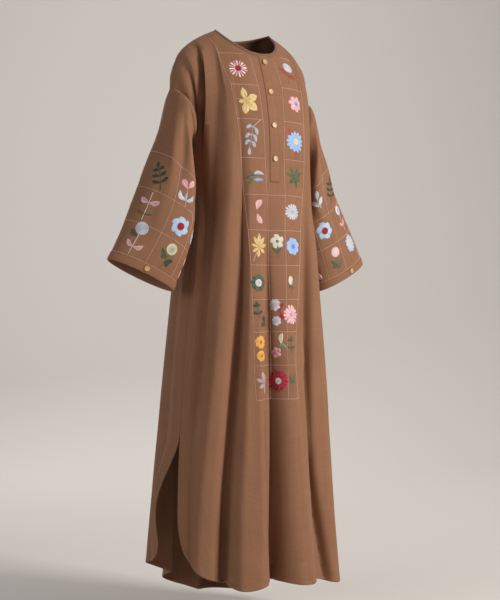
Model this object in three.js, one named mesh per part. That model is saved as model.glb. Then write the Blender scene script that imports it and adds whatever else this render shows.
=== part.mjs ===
// A mukhawar: a floor-length, A-line dress of plain cotton with a round bound neck, a buttoned placket, wide
// straight sleeves sewn to dropped shoulders, and curved hems that open into a slit at each side.
// It is built in the hollow shape that it takes when it is worn.
//
// Millimetres, +Z up. The front faces -Y and the wearer's left is +X. The origin is at the height of the neck
// points, on the line about which the dress hangs. Angles round the body are measured in degrees from the centre
// front, growing towards the wearer's left, so that the wearer's right side is near -90 and the back runs on to -270.
import * as THREE from "three";

// ---------------------------------------------------------------- driving dimensions
const CLOTH = 2; // thickness of every cloth wall
const SEAM_GAP = 0.3; // clearance between two pieces that are sewn together
const CHEST = -330; // height of the first full ring round the body, just below the underarms
const SLIT_TOP = -1040; // height at which the side seams end and the slits begin
const PLACKET = { end: -405, lift: 0.4, thickness: 1.6 }; // the strip that carries the buttons
const CUFF_BAND = 26; // width of the band that ends each sleeve
const CUFF_LIFT = 0.6; // how far the band stands proud of the sleeve
const SLEEVE_STEP = 1.2; // how far along its own length each sleeve starts clear of the armhole
const BINDING = { width: 9, thickness: 1, gap: 0.7 }; // the folded strip that binds the neck edge
const BUTTON = { radius: 6.8, thickness: 3, ease: 0.6, hole: 1, holeSpacing: 3.4 };
const FRONT_BUTTON_HEIGHTS = [-93, -172, -259, -345];
const CUFF_BUTTON_RING = 78; // where the buttons sit round the cuffs, in degrees from the outer edge
const COTTON = new THREE.Color(0.245, 0.125, 0.072);
const WOOD = new THREE.Color(0.62, 0.4, 0.2);

// The body's plain section at each height: half width, depth of the front and of the back, and how square it is.
const SECTIONS = [
  { z: -330, half: 166, front: 146, back: 118, square: 2.6 },
  { z: -450, half: 167, front: 151, back: 118, square: 2.6 },
  { z: -580, half: 184, front: 158, back: 138, square: 2.5 },
  { z: -700, half: 195, front: 168, back: 154, square: 2.4 },
  { z: -960, half: 217, front: 193, back: 180, square: 2.3 },
  { z: -1240, half: 238, front: 218, back: 208, square: 2.2 },
  { z: -1500, half: 254, front: 238, back: 232, square: 2.1 },
];

// The top edge of each panel, from its centre to the underarm: neck, shoulder seam from 30 to 74, then armhole.
// x, y, z is the edge of the cloth there, and dx, dy, dz the way that the cloth leaves it.
const FRONT_TOP = [
  { at: 0, x: 0, y: -88, z: -70, dx: 0, dy: -0.42, dz: -0.9 },
  { at: 10, x: 27, y: -84, z: -66, dx: 0.02, dy: -0.45, dz: -0.88 },
  { at: 18, x: 54, y: -67, z: -51, dx: 0.12, dy: -0.6, dz: -0.78 },
  { at: 25, x: 75, y: -36, z: -27, dx: 0.4, dy: -0.6, dz: -0.68 },
  { at: 30, x: 84, y: 5, z: 0, dx: 0.45, dy: -0.68, dz: -0.58 },
  { at: 40, x: 122, y: 8, z: -17, dx: 0.05, dy: -0.87, dz: -0.48 },
  { at: 50, x: 158, y: 9, z: -38, dx: 0, dy: -0.9, dz: -0.43 },
  { at: 58, x: 188, y: 9, z: -64, dx: -0.05, dy: -0.93, dz: -0.36 },
  { at: 66, x: 210, y: 7, z: -106, dx: -0.2, dy: -0.95, dz: -0.22 },
  { at: 74, x: 225, y: 3, z: -163, dx: -0.45, dy: -0.88, dz: 0.05 },
  { at: 78, x: 219, y: -43, z: -182, dx: -0.62, dy: -0.7, dz: -0.3 },
  { at: 82, x: 207, y: -66, z: -216, dx: -0.66, dy: -0.3, dz: -0.7 },
  { at: 86, x: 186, y: -50, z: -262, dx: -0.5, dy: 0.1, dz: -0.87 },
  { at: 90, x: 167, y: 2, z: -298, dx: -0.05, dy: 0, dz: -1 },
];
const BACK_TOP = [
  { at: 0, x: 0, y: 66, z: -14, dx: 0, dy: 0.5, dz: -0.86 },
  { at: 10, x: 27, y: 63, z: -12, dx: 0.02, dy: 0.5, dz: -0.86 },
  { at: 18, x: 54, y: 51, z: -8, dx: 0.15, dy: 0.62, dz: -0.76 },
  { at: 25, x: 74, y: 31, z: -3, dx: 0.45, dy: 0.7, dz: -0.55 },
  { at: 30, x: 84, y: 5, z: 0, dx: 0.5, dy: 0.75, dz: -0.43 },
  { at: 40, x: 122, y: 8, z: -17, dx: 0.05, dy: 0.89, dz: -0.45 },
  { at: 50, x: 158, y: 9, z: -38, dx: 0, dy: 0.9, dz: -0.43 },
  { at: 58, x: 188, y: 9, z: -64, dx: -0.05, dy: 0.93, dz: -0.36 },
  { at: 66, x: 210, y: 7, z: -106, dx: -0.2, dy: 0.95, dz: -0.22 },
  { at: 74, x: 225, y: 3, z: -163, dx: -0.45, dy: 0.88, dz: 0.05 },
  { at: 78, x: 217, y: 34, z: -184, dx: -0.62, dy: 0.7, dz: -0.3 },
  { at: 82, x: 200, y: 49, z: -218, dx: -0.66, dy: 0.3, dz: -0.7 },
  { at: 86, x: 182, y: 40, z: -263, dx: -0.5, dy: -0.1, dz: -0.87 },
  { at: 90, x: 167, y: 2, z: -298, dx: -0.05, dy: 0, dz: -1 },
];
const LEFT_SHOULDER = { back: 18, inwards: 12 }; // the left arm is held back, and draws its shoulder with it

// Heights at which the folds below are stated.
const LEVELS = { yoke: -190, chest: -330, hip: -580, knee: -960, slit: -1040, calf: -1240, hem: -1430 };

// Each row is the crest or the hollow of a fold that runs down a panel. top is its place on the top edge, columns the
// number of steps to the next row, angles are where it lies round the body at each level, and outs how far it stands
// out of the plain section there. Both panels share their rows from the neck point to the underarm.
const FRONT_FOLDS = [
  {
    fold: "right seam", top: -90, columns: 8,
    angles: { chest: -88, hip: -77, knee: -78, slit: -78, calf: -75, hem: -73.5 },
    outs: { yoke: 0, chest: -2, hip: 0, knee: 2, slit: 2, calf: 8, hem: 8 },
  },
  {
    fold: "right armhole head", top: -74, columns: 1,
    angles: { chest: -80.5, hip: -71.5, knee: -73, slit: -73, calf: -70.5, hem: -69 },
    outs: { yoke: 0, chest: 0, hip: 4, knee: 5, slit: 5, calf: 11, hem: 12 },
  },
  {
    fold: "right cap crest", top: -68, columns: 1,
    angles: { chest: -79, hip: -70.3, knee: -72, slit: -72, calf: -69.7, hem: -68.2 },
    outs: { yoke: 6, chest: -1, hip: 2, knee: 5, slit: 5, calf: 12, hem: 13 },
  },
  {
    fold: "right cap crease", top: -62, columns: 1,
    angles: { chest: -77.5, hip: -69.1, knee: -71, slit: -71, calf: -68.8, hem: -67.4 },
    outs: { yoke: -7, chest: -3, hip: 0, knee: 4, slit: 4, calf: 12, hem: 14 },
  },
  {
    fold: "right cap fold", top: -56, columns: 1,
    angles: { chest: -75.5, hip: -67.8, knee: -70, slit: -70, calf: -68, hem: -66.5 },
    outs: { yoke: 7, chest: -5, hip: -2, knee: 3, slit: 3, calf: 12, hem: 15 },
  },
  {
    fold: "right armpit crease", top: -49.5, columns: 1,
    angles: { chest: -72.5, hip: -66.3, knee: -69, slit: -69, calf: -67, hem: -65.5 },
    outs: { yoke: -15, chest: -9, hip: -5, knee: 1, slit: 2, calf: 12, hem: 15 },
  },
  {
    fold: "right breast fold", top: -46.5, columns: 2,
    angles: { chest: -67, hip: -64.5, knee: -67.7, slit: -67.8, calf: -66, hem: -64.3 },
    outs: { yoke: 5, chest: 2, hip: -7, knee: 0, slit: 2, calf: 12, hem: 15 },
  },
  {
    fold: "right side hollow", top: -41.5, columns: 3,
    angles: { chest: -57, hip: -60.5, knee: -65, slit: -65.8, calf: -64.5, hem: -62.8 },
    outs: { yoke: -5, chest: -8, hip: -12, knee: -2, slit: 2, calf: 12, hem: 16 },
  },
  {
    fold: "right pipe", top: -30, columns: 4,
    angles: { chest: -42, hip: -47, knee: -54, slit: -55.5, calf: -58.5, hem: -58.5 },
    outs: { yoke: 2, chest: 5, hip: 11, knee: 16, slit: 17, calf: 20, hem: 22 },
  },
  {
    fold: "right hollow", top: -24, columns: 4,
    angles: { chest: -34.5, hip: -33.5, knee: -39, slit: -40.5, calf: -44, hem: -45.3 },
    outs: { yoke: -1, chest: -4, hip: -14, knee: -24, slit: -25, calf: -28, hem: -30 },
  },
  {
    fold: "panel pipe crest", top: -19, columns: 2,
    angles: { chest: -27, hip: -27, knee: -29.5, slit: -30, calf: -32, hem: -33 },
    outs: { yoke: 0, chest: 2, hip: 6, knee: 10, slit: 12, calf: 18, hem: 23 },
  },
  {
    fold: "panel pipe edge", top: -14.5, columns: 3,
    angles: { chest: -18.5, hip: -20, knee: -22, slit: -22.5, calf: -23, hem: -23.5 },
    outs: { yoke: 0, chest: 1, hip: 4, knee: 8, slit: 10, calf: 16, hem: 22 },
  },
  {
    fold: "panel hollow", top: -10, columns: 5,
    angles: { chest: -10.3, hip: -10, knee: -10, slit: -10.3, calf: -11.8, hem: -12 },
    outs: { yoke: 0, chest: 0, hip: -7, knee: -27, slit: -31, calf: -42, hem: -50 },
  },
  {
    fold: "middle pipe", top: 10, columns: 5,
    angles: { chest: 10.3, hip: 7, knee: 3, slit: 3, calf: 4.5, hem: 4.5 },
    outs: { yoke: 0, chest: 0, hip: 4, knee: 12, slit: 14, calf: 20, hem: 26 },
  },
  {
    fold: "left hollow", top: 30, columns: 3,
    angles: { chest: 40, hip: 36, knee: 34, slit: 33.5, calf: 33, hem: 33.5 },
    outs: { yoke: -3, chest: -7, hip: -13, knee: -29, slit: -33, calf: -46, hem: -52 },
  },
  {
    fold: "left pipe", top: 41.5, columns: 2,
    angles: { chest: 57, hip: 55, knee: 54, slit: 54, calf: 52, hem: 51 },
    outs: { yoke: 6, chest: 4, hip: 7, knee: 5, slit: 3, calf: 3, hem: 8 },
  },
  {
    fold: "left side hollow", top: 46.5, columns: 1,
    angles: { chest: 68, hip: 67, knee: 66, slit: 66, calf: 65, hem: 65 },
    outs: { yoke: 2, chest: -7, hip: -12, knee: -18, slit: -20, calf: -26, hem: -30 },
  },
  {
    fold: "left armpit crease", top: 49.5, columns: 1,
    angles: { chest: 72.5, hip: 73, knee: 72.5, slit: 72.5, calf: 71, hem: 71 },
    outs: { yoke: -13, chest: -8, hip: -6, knee: -6, slit: -6, calf: -8, hem: -10 },
  },
  {
    fold: "left cap fold", top: 56, columns: 1,
    angles: { chest: 75.5, hip: 75.5, knee: 75, slit: 75, calf: 73.5, hem: 73.5 },
    outs: { yoke: 6, chest: -5, hip: 0, knee: 2, slit: 2, calf: 3, hem: 4 },
  },
  {
    fold: "left cap crease", top: 62, columns: 1,
    angles: { chest: 77.5, hip: 77.5, knee: 77, slit: 77, calf: 75.5, hem: 75.5 },
    outs: { yoke: -6, chest: -3, hip: 2, knee: 6, slit: 6, calf: 9, hem: 11 },
  },
  {
    fold: "left cap crest", top: 68, columns: 1,
    angles: { chest: 79, hip: 79, knee: 78.7, slit: 78.7, calf: 77.2, hem: 77.2 },
    outs: { yoke: 5, chest: -1, hip: 3, knee: 7, slit: 7, calf: 11, hem: 14 },
  },
  {
    fold: "left armhole head", top: 74, columns: 8,
    angles: { chest: 80.5, hip: 80.5, knee: 80.3, slit: 80.3, calf: 79, hem: 79 },
    outs: { yoke: 0, chest: 0, hip: 4, knee: 7, slit: 7, calf: 12, hem: 15 },
  },
  {
    fold: "left seam", top: 90, columns: 0,
    angles: { chest: 88, hip: 88, knee: 87, slit: 87, calf: 85, hem: 85 },
    outs: { yoke: 0, chest: -2, hip: 0, knee: 2, slit: 2, calf: 7, hem: 8 },
  },
];
const BACK_FOLDS = [
  {
    fold: "right seam", top: -90, columns: 8,
    angles: { chest: -88, hip: -77, knee: -78, slit: -78, calf: -97, hem: -80 },
    outs: { yoke: 0, chest: -2, hip: 0, knee: 2, slit: 2, calf: 12, hem: 4 },
  },
  {
    fold: "right armhole head", top: -74, columns: 1,
    angles: { chest: -95, hip: -82.5, knee: -83.5, slit: -83.5, calf: -101.5, hem: -87 },
    outs: { yoke: 0, chest: 0, hip: 3, knee: 5, slit: 5, calf: 13, hem: 7 },
  },
  {
    fold: "right cap crest", top: -68, columns: 1,
    angles: { chest: -97, hip: -84, knee: -85, slit: -85, calf: -103, hem: -89.5 },
    outs: { yoke: 3, chest: 0, hip: 4, knee: 7, slit: 7, calf: 13, hem: 9 },
  },
  {
    fold: "right cap crease", top: -62, columns: 1,
    angles: { chest: -99, hip: -85.6, knee: -86.5, slit: -86.6, calf: -104.5, hem: -92 },
    outs: { yoke: -5, chest: -2, hip: 3, knee: 7, slit: 7, calf: 13, hem: 10 },
  },
  {
    fold: "right cap fold", top: -56, columns: 1,
    angles: { chest: -101.5, hip: -87.5, knee: -88.3, slit: -88.5, calf: -106, hem: -95 },
    outs: { yoke: 4, chest: -3, hip: 1, knee: 5, slit: 5, calf: 11, hem: 9 },
  },
  {
    fold: "right shoulder crease", top: -49.5, columns: 1,
    angles: { chest: -105.5, hip: -90.5, knee: -91.3, slit: -91.5, calf: -108, hem: -99 },
    outs: { yoke: -14, chest: -8, hip: -4, knee: -2, slit: -2, calf: 6, hem: 5 },
  },
  {
    fold: "right back hollow", top: -46.5, columns: 2,
    angles: { chest: -114, hip: -99, knee: -99.5, slit: -100, calf: -114, hem: -108 },
    outs: { yoke: 2, chest: -3, hip: -9, knee: -11, slit: -11, calf: -4, hem: -6 },
  },
  {
    fold: "right back pipe", top: -41.5, columns: 3,
    angles: { chest: -126, hip: -115, knee: -116, slit: -117, calf: -124, hem: -124 },
    outs: { yoke: 2, chest: 2, hip: -1, knee: 4, slit: 5, calf: 11, hem: 15 },
  },
  {
    fold: "right inner hollow", top: -30, columns: 3,
    angles: { chest: -140, hip: -132, knee: -131, slit: -131, calf: -140, hem: -142 },
    outs: { yoke: -1, chest: -4, hip: -9, knee: -17, slit: -19, calf: -26, hem: -34 },
  },
  {
    fold: "right centre pipe", top: -19, columns: 4,
    angles: { chest: -155, hip: -149, knee: -148, slit: -148, calf: -154, hem: -157 },
    outs: { yoke: 0, chest: 2, hip: 7, knee: 14, slit: 16, calf: 22, hem: 28 },
  },
  {
    fold: "centre hollow", top: -7, columns: 4,
    angles: { chest: -170, hip: -168, knee: -166, slit: -166, calf: -171, hem: -174 },
    outs: { yoke: 0, chest: -2, hip: -7, knee: -15, slit: -17, calf: -26, hem: -34 },
  },
  {
    fold: "left centre pipe", top: 6, columns: 4,
    angles: { chest: -186, hip: -187, knee: -186, slit: -186, calf: -188, hem: -190 },
    outs: { yoke: 0, chest: 2, hip: 7, knee: 14, slit: 16, calf: 24, hem: 28 },
  },
  {
    fold: "left inner hollow", top: 18, columns: 4,
    angles: { chest: -203, hip: -205, knee: -205, slit: -205, calf: -206, hem: -207 },
    outs: { yoke: -1, chest: -3, hip: -9, knee: -18, slit: -20, calf: -28, hem: -36 },
  },
  {
    fold: "left back pipe", top: 30, columns: 3,
    angles: { chest: -219, hip: -222, knee: -222, slit: -222, calf: -222, hem: -222 },
    outs: { yoke: 2, chest: 3, hip: 8, knee: 14, slit: 16, calf: 22, hem: 26 },
  },
  {
    fold: "left back hollow", top: 41.5, columns: 2,
    angles: { chest: -233, hip: -237, knee: -237, slit: -237, calf: -236, hem: -237 },
    outs: { yoke: -2, chest: -5, hip: -9, knee: -16, slit: -18, calf: -25, hem: -30 },
  },
  {
    fold: "left side pipe", top: 46.5, columns: 1,
    angles: { chest: -245, hip: -249, knee: -248, slit: -248, calf: -247, hem: -248 },
    outs: { yoke: 2, chest: 0, hip: 4, knee: 8, slit: 9, calf: 13, hem: 15 },
  },
  {
    fold: "left shoulder crease", top: 49.5, columns: 1,
    angles: { chest: -253, hip: -256, knee: -254.5, slit: -254.5, calf: -253, hem: -253.5 },
    outs: { yoke: -14, chest: -8, hip: -4, knee: 1, slit: 1, calf: 3, hem: 3 },
  },
  {
    fold: "left cap fold", top: 56, columns: 1,
    angles: { chest: -256, hip: -258.5, knee: -257, slit: -257, calf: -255.5, hem: -256 },
    outs: { yoke: 4, chest: -4, hip: -1, knee: 2, slit: 2, calf: 5, hem: 5 },
  },
  {
    fold: "left cap crease", top: 62, columns: 1,
    angles: { chest: -258.5, hip: -260.8, knee: -259.5, slit: -259.5, calf: -258, hem: -258.5 },
    outs: { yoke: -5, chest: -2, hip: 1, knee: 4, slit: 4, calf: 8, hem: 8 },
  },
  {
    fold: "left cap crest", top: 68, columns: 1,
    angles: { chest: -260.8, hip: -263, knee: -262, slit: -262, calf: -260.5, hem: -261 },
    outs: { yoke: 3, chest: 0, hip: 3, knee: 6, slit: 6, calf: 10, hem: 11 },
  },
  {
    fold: "left armhole head", top: 74, columns: 8,
    angles: { chest: -263, hip: -265, knee: -264.5, slit: -264.5, calf: -263, hem: -263.5 },
    outs: { yoke: 0, chest: 0, hip: 3, knee: 6, slit: 6, calf: 11, hem: 12 },
  },
  {
    fold: "left seam", top: 90, columns: 0,
    angles: { chest: -272, hip: -272, knee: -273, slit: -273, calf: -270, hem: -270 },
    outs: { yoke: 0, chest: -2, hip: 0, knee: 2, slit: 2, calf: 7, hem: 8 },
  },
];

// The hem's height by the angle round the body. The back is cut longer than the front.
const FRONT_HEM = [
  { angle: -80, z: -1405 },
  { angle: -45, z: -1412 },
  { angle: -31, z: -1421 },
  { angle: -12, z: -1408 },
  { angle: 3, z: -1416 },
  { angle: 33, z: -1425 },
  { angle: 48, z: -1444 },
  { angle: 88, z: -1420 },
];
const BACK_HEM = [
  { angle: -272, z: -1440 },
  { angle: -235, z: -1490 },
  { angle: -190, z: -1520 },
  { angle: -165, z: -1490 },
  { angle: -150, z: -1458 },
  { angle: -123, z: -1400 },
  { angle: -100, z: -1378 },
  { angle: -78, z: -1352 },
];
// The rounded corner of each panel beside a slit.
const FRONT_CORNER = { width: 150, height: 165 };
const BACK_CORNER = { width: 60, height: 50 };

// The sleeves, from the armhole to the end of the cloth. outer and inner are the two ends of a flattened ring, deep and
// behind are how far it bulges in front of them and behind, further is how much further out the left one's outer end is, ahead how far it swings forward on the right arm, and twist how far the ring is
// turned so that its inner edge comes forward.
const SLEEVE = [
  { at: 0, outerX: 222, outerZ: -165, innerX: 168, innerZ: -298, deep: 62, behind: 46, ahead: 0, twist: 0, further: 0 },
  { at: 0.2, outerX: 252, outerZ: -262, innerX: 187, innerZ: -372, deep: 72, behind: 50, ahead: 16, twist: 5, further: 0 },
  { at: 0.4, outerX: 294, outerZ: -352, innerX: 192, innerZ: -448, deep: 75, behind: 54, ahead: 31, twist: 9, further: 16 },
  { at: 0.6, outerX: 333, outerZ: -438, innerX: 202, innerZ: -524, deep: 72, behind: 54, ahead: 42, twist: 10, further: 18 },
  { at: 0.8, outerX: 372, outerZ: -522, innerX: 222, innerZ: -604, deep: 61, behind: 52, ahead: 44, twist: 8, further: 13 },
  { at: 1, outerX: 414, outerZ: -604, innerX: 247, innerZ: -684, deep: 45, behind: 45, ahead: 38, twist: 6, further: 0 },
];
const LEFT_SWING = -0.5; // the left arm hangs a little behind the body, by this share of ahead
const SLEEVE_FOLDS = [
  { ring: 45, out: 6, spread: 15, from: 0, peak: 0.2, to: 0.7 },
  { ring: 75, out: -6, spread: 12, from: 0, peak: 0.2, to: 0.6 },
  { ring: 105, out: 6, spread: 13, from: 0, peak: 0.22, to: 0.75 },
  { ring: 138, out: -7, spread: 13, from: 0, peak: 0.3, to: 0.9 },
  { ring: 228, out: -8, spread: 15, from: 0, peak: 0.25, to: 0.9 },
  { ring: 264, out: 6, spread: 15, from: 0, peak: 0.2, to: 0.8 },
  { ring: 305, out: -6, spread: 15, from: 0, peak: 0.2, to: 0.7 },
];

// ---------------------------------------------------------------- small helpers
const vec = (x, y, z) => new THREE.Vector3(x, y, z);
const radians = THREE.MathUtils.degToRad;
const { clamp, lerp, smoothstep } = THREE.MathUtils;

// A smooth curve through the points (xs, ys) that never overshoots them, read at x. xs may rise or fall.
function through(xs, ys, x) {
  if (xs[0] > xs[xs.length - 1]) {
    return through([...xs].reverse(), [...ys].reverse(), x);
  }
  const last = xs.length - 1;
  const slope = (i) => (ys[i + 1] - ys[i]) / (xs[i + 1] - xs[i]);
  const tangent = (i) => {
    if (i === 0) return slope(0);
    if (i === last) return slope(last - 1);
    const [before, after] = [slope(i - 1), slope(i)];
    if (before * after <= 0) return 0;
    const [wide, narrow] = [xs[i + 1] - xs[i], xs[i] - xs[i - 1]];
    return (3 * (wide + narrow)) / ((2 * wide + narrow) / before + (wide + 2 * narrow) / after);
  };
  if (x <= xs[0]) return ys[0];
  if (x >= xs[last]) return ys[last];
  let i = 0;
  while (x > xs[i + 1]) i++;
  const span = xs[i + 1] - xs[i];
  const t = (x - xs[i]) / span;
  const [t2, t3] = [t * t, t * t * t];
  return (
    (2 * t3 - 3 * t2 + 1) * ys[i] +
    (t3 - 2 * t2 + t) * span * tangent(i) +
    (3 * t2 - 2 * t3) * ys[i + 1] +
    (t3 - t2) * span * tangent(i + 1)
  );
}

// One column of a table, read at a value of its key column.
const column = (table, key, name, value) =>
  through(table.map((row) => row[key]), table.map((row) => row[name]), value);

// A fold's angle or outs, read at a height.
const atHeight = (stated, z) => {
  const levels = Object.keys(stated);
  return through(levels.map((level) => LEVELS[level]), levels.map((level) => stated[level]), z);
};

// ---------------------------------------------------------------- the body's surface
const FRONT = { top: FRONT_TOP, folds: FRONT_FOLDS, hem: FRONT_HEM, corner: FRONT_CORNER };
const BACK = { top: BACK_TOP, folds: BACK_FOLDS, hem: BACK_HEM, corner: BACK_CORNER };

// A place across a panel is counted in folds: 2.5 is halfway between the third and fourth rows of its table.
function acrossFolds(folds, place, read) {
  const i = Math.min(Math.floor(place), folds.length - 2);
  return [read(folds[i]), read(folds[i + 1]), place - i];
}

const foldNamed = (folds, name) => folds.findIndex((row) => row.fold === name);

// Crests are round and hollows narrow: the cloth keeps near the crest and then drops into the hollow.
function drop(from, to, share) {
  const plain = smoothstep(share, 0, 1);
  const crested = from > to ? 1 - (1 - share ** 2.2) ** 0.8 : (1 - (1 - share) ** 2.2) ** 0.8;
  return lerp(from, to, lerp(plain, crested, 0.5));
}

function angleAt(folds, place, z) {
  const [from, to, share] = acrossFolds(folds, place, (row) => atHeight(row.angles, z));
  return lerp(from, to, share);
}

function outAt(folds, place, z) {
  const [from, to, share] = acrossFolds(folds, place, (row) => atHeight(row.outs, z));
  return drop(from, to, share);
}

// A point of the plain section at an angle and height, moved out of it.
function sectionPoint(angle, z, out) {
  const half = column(SECTIONS, "z", "half", z);
  const square = column(SECTIONS, "z", "square", z);
  const side = Math.sin(radians(angle));
  const ahead = Math.cos(radians(angle));
  const depth = column(SECTIONS, "z", ahead > 0 ? "front" : "back", z);
  const reach = (Math.abs(side / half) ** square + Math.abs(ahead / depth) ** square) ** (-1 / square);
  return vec(side * (reach + out), -ahead * (reach + out), z);
}

const skirtPoint = (folds, place, z) => sectionPoint(angleAt(folds, place, z), z, outAt(folds, place, z));

const TOP_PARTS = [[0, 30], [30, 74], [74, 90]]; // neck, shoulder seam and armhole, with a corner between them

// A point of a panel's top edge, and the way that the cloth leaves it.
function topEdge(table, at) {
  const side = at < 0 ? -1 : 1;
  const [from, to] = TOP_PARTS.find((part) => Math.abs(at) <= part[1]) ?? TOP_PARTS[2];
  const rows = table.filter((row) => row.at >= from && row.at <= to);
  const read = (name) => column(rows, "at", name, Math.abs(at));
  const held = side > 0 ? smoothstep(at, 34, 70) * (1 - smoothstep(at, 80, 90)) : 0;
  return {
    point: vec(side * (read("x") - LEFT_SHOULDER.inwards * held), read("y") + LEFT_SHOULDER.back * held, read("z")),
    leaving: vec(side * read("dx"), read("dy"), read("dz")).normalize(),
  };
}

const topPlace = (folds, place) => {
  const [from, to, share] = acrossFolds(folds, place, (row) => row.top);
  return lerp(from, to, share);
};

// A point between the top edge (0) and the chest ring (1), on a curve that leaves both smoothly.
function yokePoint(panel, place, share) {
  const { point, leaving } = topEdge(panel.top, topPlace(panel.folds, place));
  const ring = skirtPoint(panel.folds, place, CHEST);
  const below = skirtPoint(panel.folds, place, CHEST - 20);
  const reach = point.distanceTo(ring) * 0.36;
  const curve = new THREE.CubicBezierCurve3(
    point,
    point.clone().addScaledVector(leaving, reach),
    ring.clone().addScaledVector(below.sub(ring).normalize(), -reach),
    ring,
  );
  const found = curve.getPoint(share);
  const out = outAt(panel.folds, place, LEVELS.yoke) * Math.sin(Math.PI * share ** 0.8) ** 1.3;
  return found.addScaledVector(vec(found.x, found.y, 0).normalize(), out);
}

// Height of the hem at a place across a panel, with the rounded corners beside the slits.
function hemHeight(panel, place) {
  const angle = angleAt(panel.folds, place, LEVELS.hem);
  const ends = [0, panel.folds.length - 1].map((end) => angleAt(panel.folds, end, LEVELS.hem));
  const radius = column(SECTIONS, "z", "half", LEVELS.hem);
  const fromSlit = Math.min(...ends.map((end) => Math.abs(angle - end))) * radians(1) * radius;
  const inCorner = 1 - clamp(fromSlit / panel.corner.width, 0, 1);
  return column(panel.hem, "angle", "z", angle) + panel.corner.height * (1 - Math.sqrt(1 - inCorner * inCorner));
}

const YOKE_ROWS = [0, 0.035, 0.1, 0.2, 0.33, 0.48, 0.64, 0.82];
const SKIRT_ROWS = [CHEST, PLACKET.end, -480, -560, -650, -750, -850, -950, SLIT_TOP];
const HEM_ROWS = [0.14, 0.3, 0.46, 0.62, 0.76, 0.89, 1];

// Rows of points from the top edge to the hem, at the given places across the panel.
function panelGrid(panel, places) {
  return [
    ...YOKE_ROWS.map((share) => places.map((place) => yokePoint(panel, place, share))),
    ...SKIRT_ROWS.map((z) => places.map((place) => skirtPoint(panel.folds, place, z))),
    ...HEM_ROWS.map((share) =>
      places.map((place) => skirtPoint(panel.folds, place, lerp(SLIT_TOP, hemHeight(panel, place), share))),
    ),
  ];
}

// ---------------------------------------------------------------- walls of cloth
// The normal of a grid of points at a row and column. Every grid is laid out so that it points out of the dress.
function gridNormal(grid, row, col, closed) {
  const rows = grid.length;
  const cols = grid[0].length;
  const step = (i) => (closed ? (i + cols) % cols : clamp(i, 0, cols - 1));
  const down = grid[Math.min(row + 1, rows - 1)][col].clone().sub(grid[Math.max(row - 1, 0)][col]);
  const across = grid[row][step(col + 1)].clone().sub(grid[row][step(col - 1)]);
  return down.cross(across).normalize();
}

const gridNormals = (grid, { closed = false, edgeNormal = () => null } = {}) =>
  grid.map((points, row) => points.map((_, col) => edgeNormal(row, col) ?? gridNormal(grid, row, col, closed)));

// A closed wall between a grid of points moved along its normals by from and by to. A closed grid runs right round, so
// that its last column joins its first.
function wall(grid, normals, { from, to, closed = false }) {
  const rows = grid.length;
  const cols = grid[0].length;
  const layers = [from, to].map((offset) =>
    grid.flatMap((points, row) => points.map((point, col) => point.clone().addScaledVector(normals[row][col], offset))),
  );
  const index = [];
  const at = (row, col, side) => side * rows * cols + row * cols + (col % cols);
  const quad = (a, b, c, d) => index.push(a, b, c, a, c, d);
  const spans = closed ? cols : cols - 1;
  for (let row = 0; row < rows - 1; row++) {
    for (let col = 0; col < spans; col++) {
      quad(at(row, col, 1), at(row + 1, col, 1), at(row + 1, col + 1, 1), at(row, col + 1, 1));
      quad(at(row, col, 0), at(row, col + 1, 0), at(row + 1, col + 1, 0), at(row + 1, col, 0));
    }
  }
  for (let col = 0; col < spans; col++) {
    quad(at(0, col, 0), at(0, col, 1), at(0, col + 1, 1), at(0, col + 1, 0));
    quad(at(rows - 1, col, 0), at(rows - 1, col + 1, 0), at(rows - 1, col + 1, 1), at(rows - 1, col, 1));
  }
  if (!closed) {
    for (let row = 0; row < rows - 1; row++) {
      quad(at(row, 0, 0), at(row + 1, 0, 0), at(row + 1, 0, 1), at(row, 0, 1));
      quad(at(row, cols - 1, 1), at(row + 1, cols - 1, 1), at(row + 1, cols - 1, 0), at(row, cols - 1, 0));
    }
  }
  return shell(layers.flat(), index);
}

function shell(points, index) {
  const geometry = new THREE.BufferGeometry().setFromPoints(points);
  geometry.setIndex(index);
  geometry.computeVertexNormals();
  return geometry;
}

function named(name, geometry, color, roughness) {
  const mesh = new THREE.Mesh(geometry, new THREE.MeshStandardMaterial({ color, roughness, metalness: 0 }));
  mesh.name = name;
  return mesh;
}

// ---------------------------------------------------------------- sleeves
const ARMHOLE_SPANS = 8; // the columns of each panel along its armhole
const RING_STEPS = 4 * ARMHOLE_SPANS;

function sleeveFold(fold, along, ring) {
  const across = Math.exp(-(((ring - fold.ring) / fold.spread) ** 2));
  const down =
    along < fold.peak ? smoothstep(along, fold.from, fold.peak) : 1 - smoothstep(along, fold.peak, fold.to);
  return fold.out * across * down;
}

// The armhole, over the front from the top (0) to the underarm (180), then up the back. It runs straight between the
// corners of the panels' edges, so that the sleeve meets them all the way round.
function armhole(side, ring) {
  const inFront = ring <= 180;
  const table = inFront ? FRONT_TOP : BACK_TOP;
  const span = ((inFront ? ring : 360 - ring) / 180) * ARMHOLE_SPANS;
  const from = Math.min(Math.floor(span), ARMHOLE_SPANS - 1);
  const corner = (i) => topEdge(table, side * lerp(74, 90, i / ARMHOLE_SPANS)).point;
  return corner(from).lerp(corner(from + 1), span - from);
}

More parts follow.
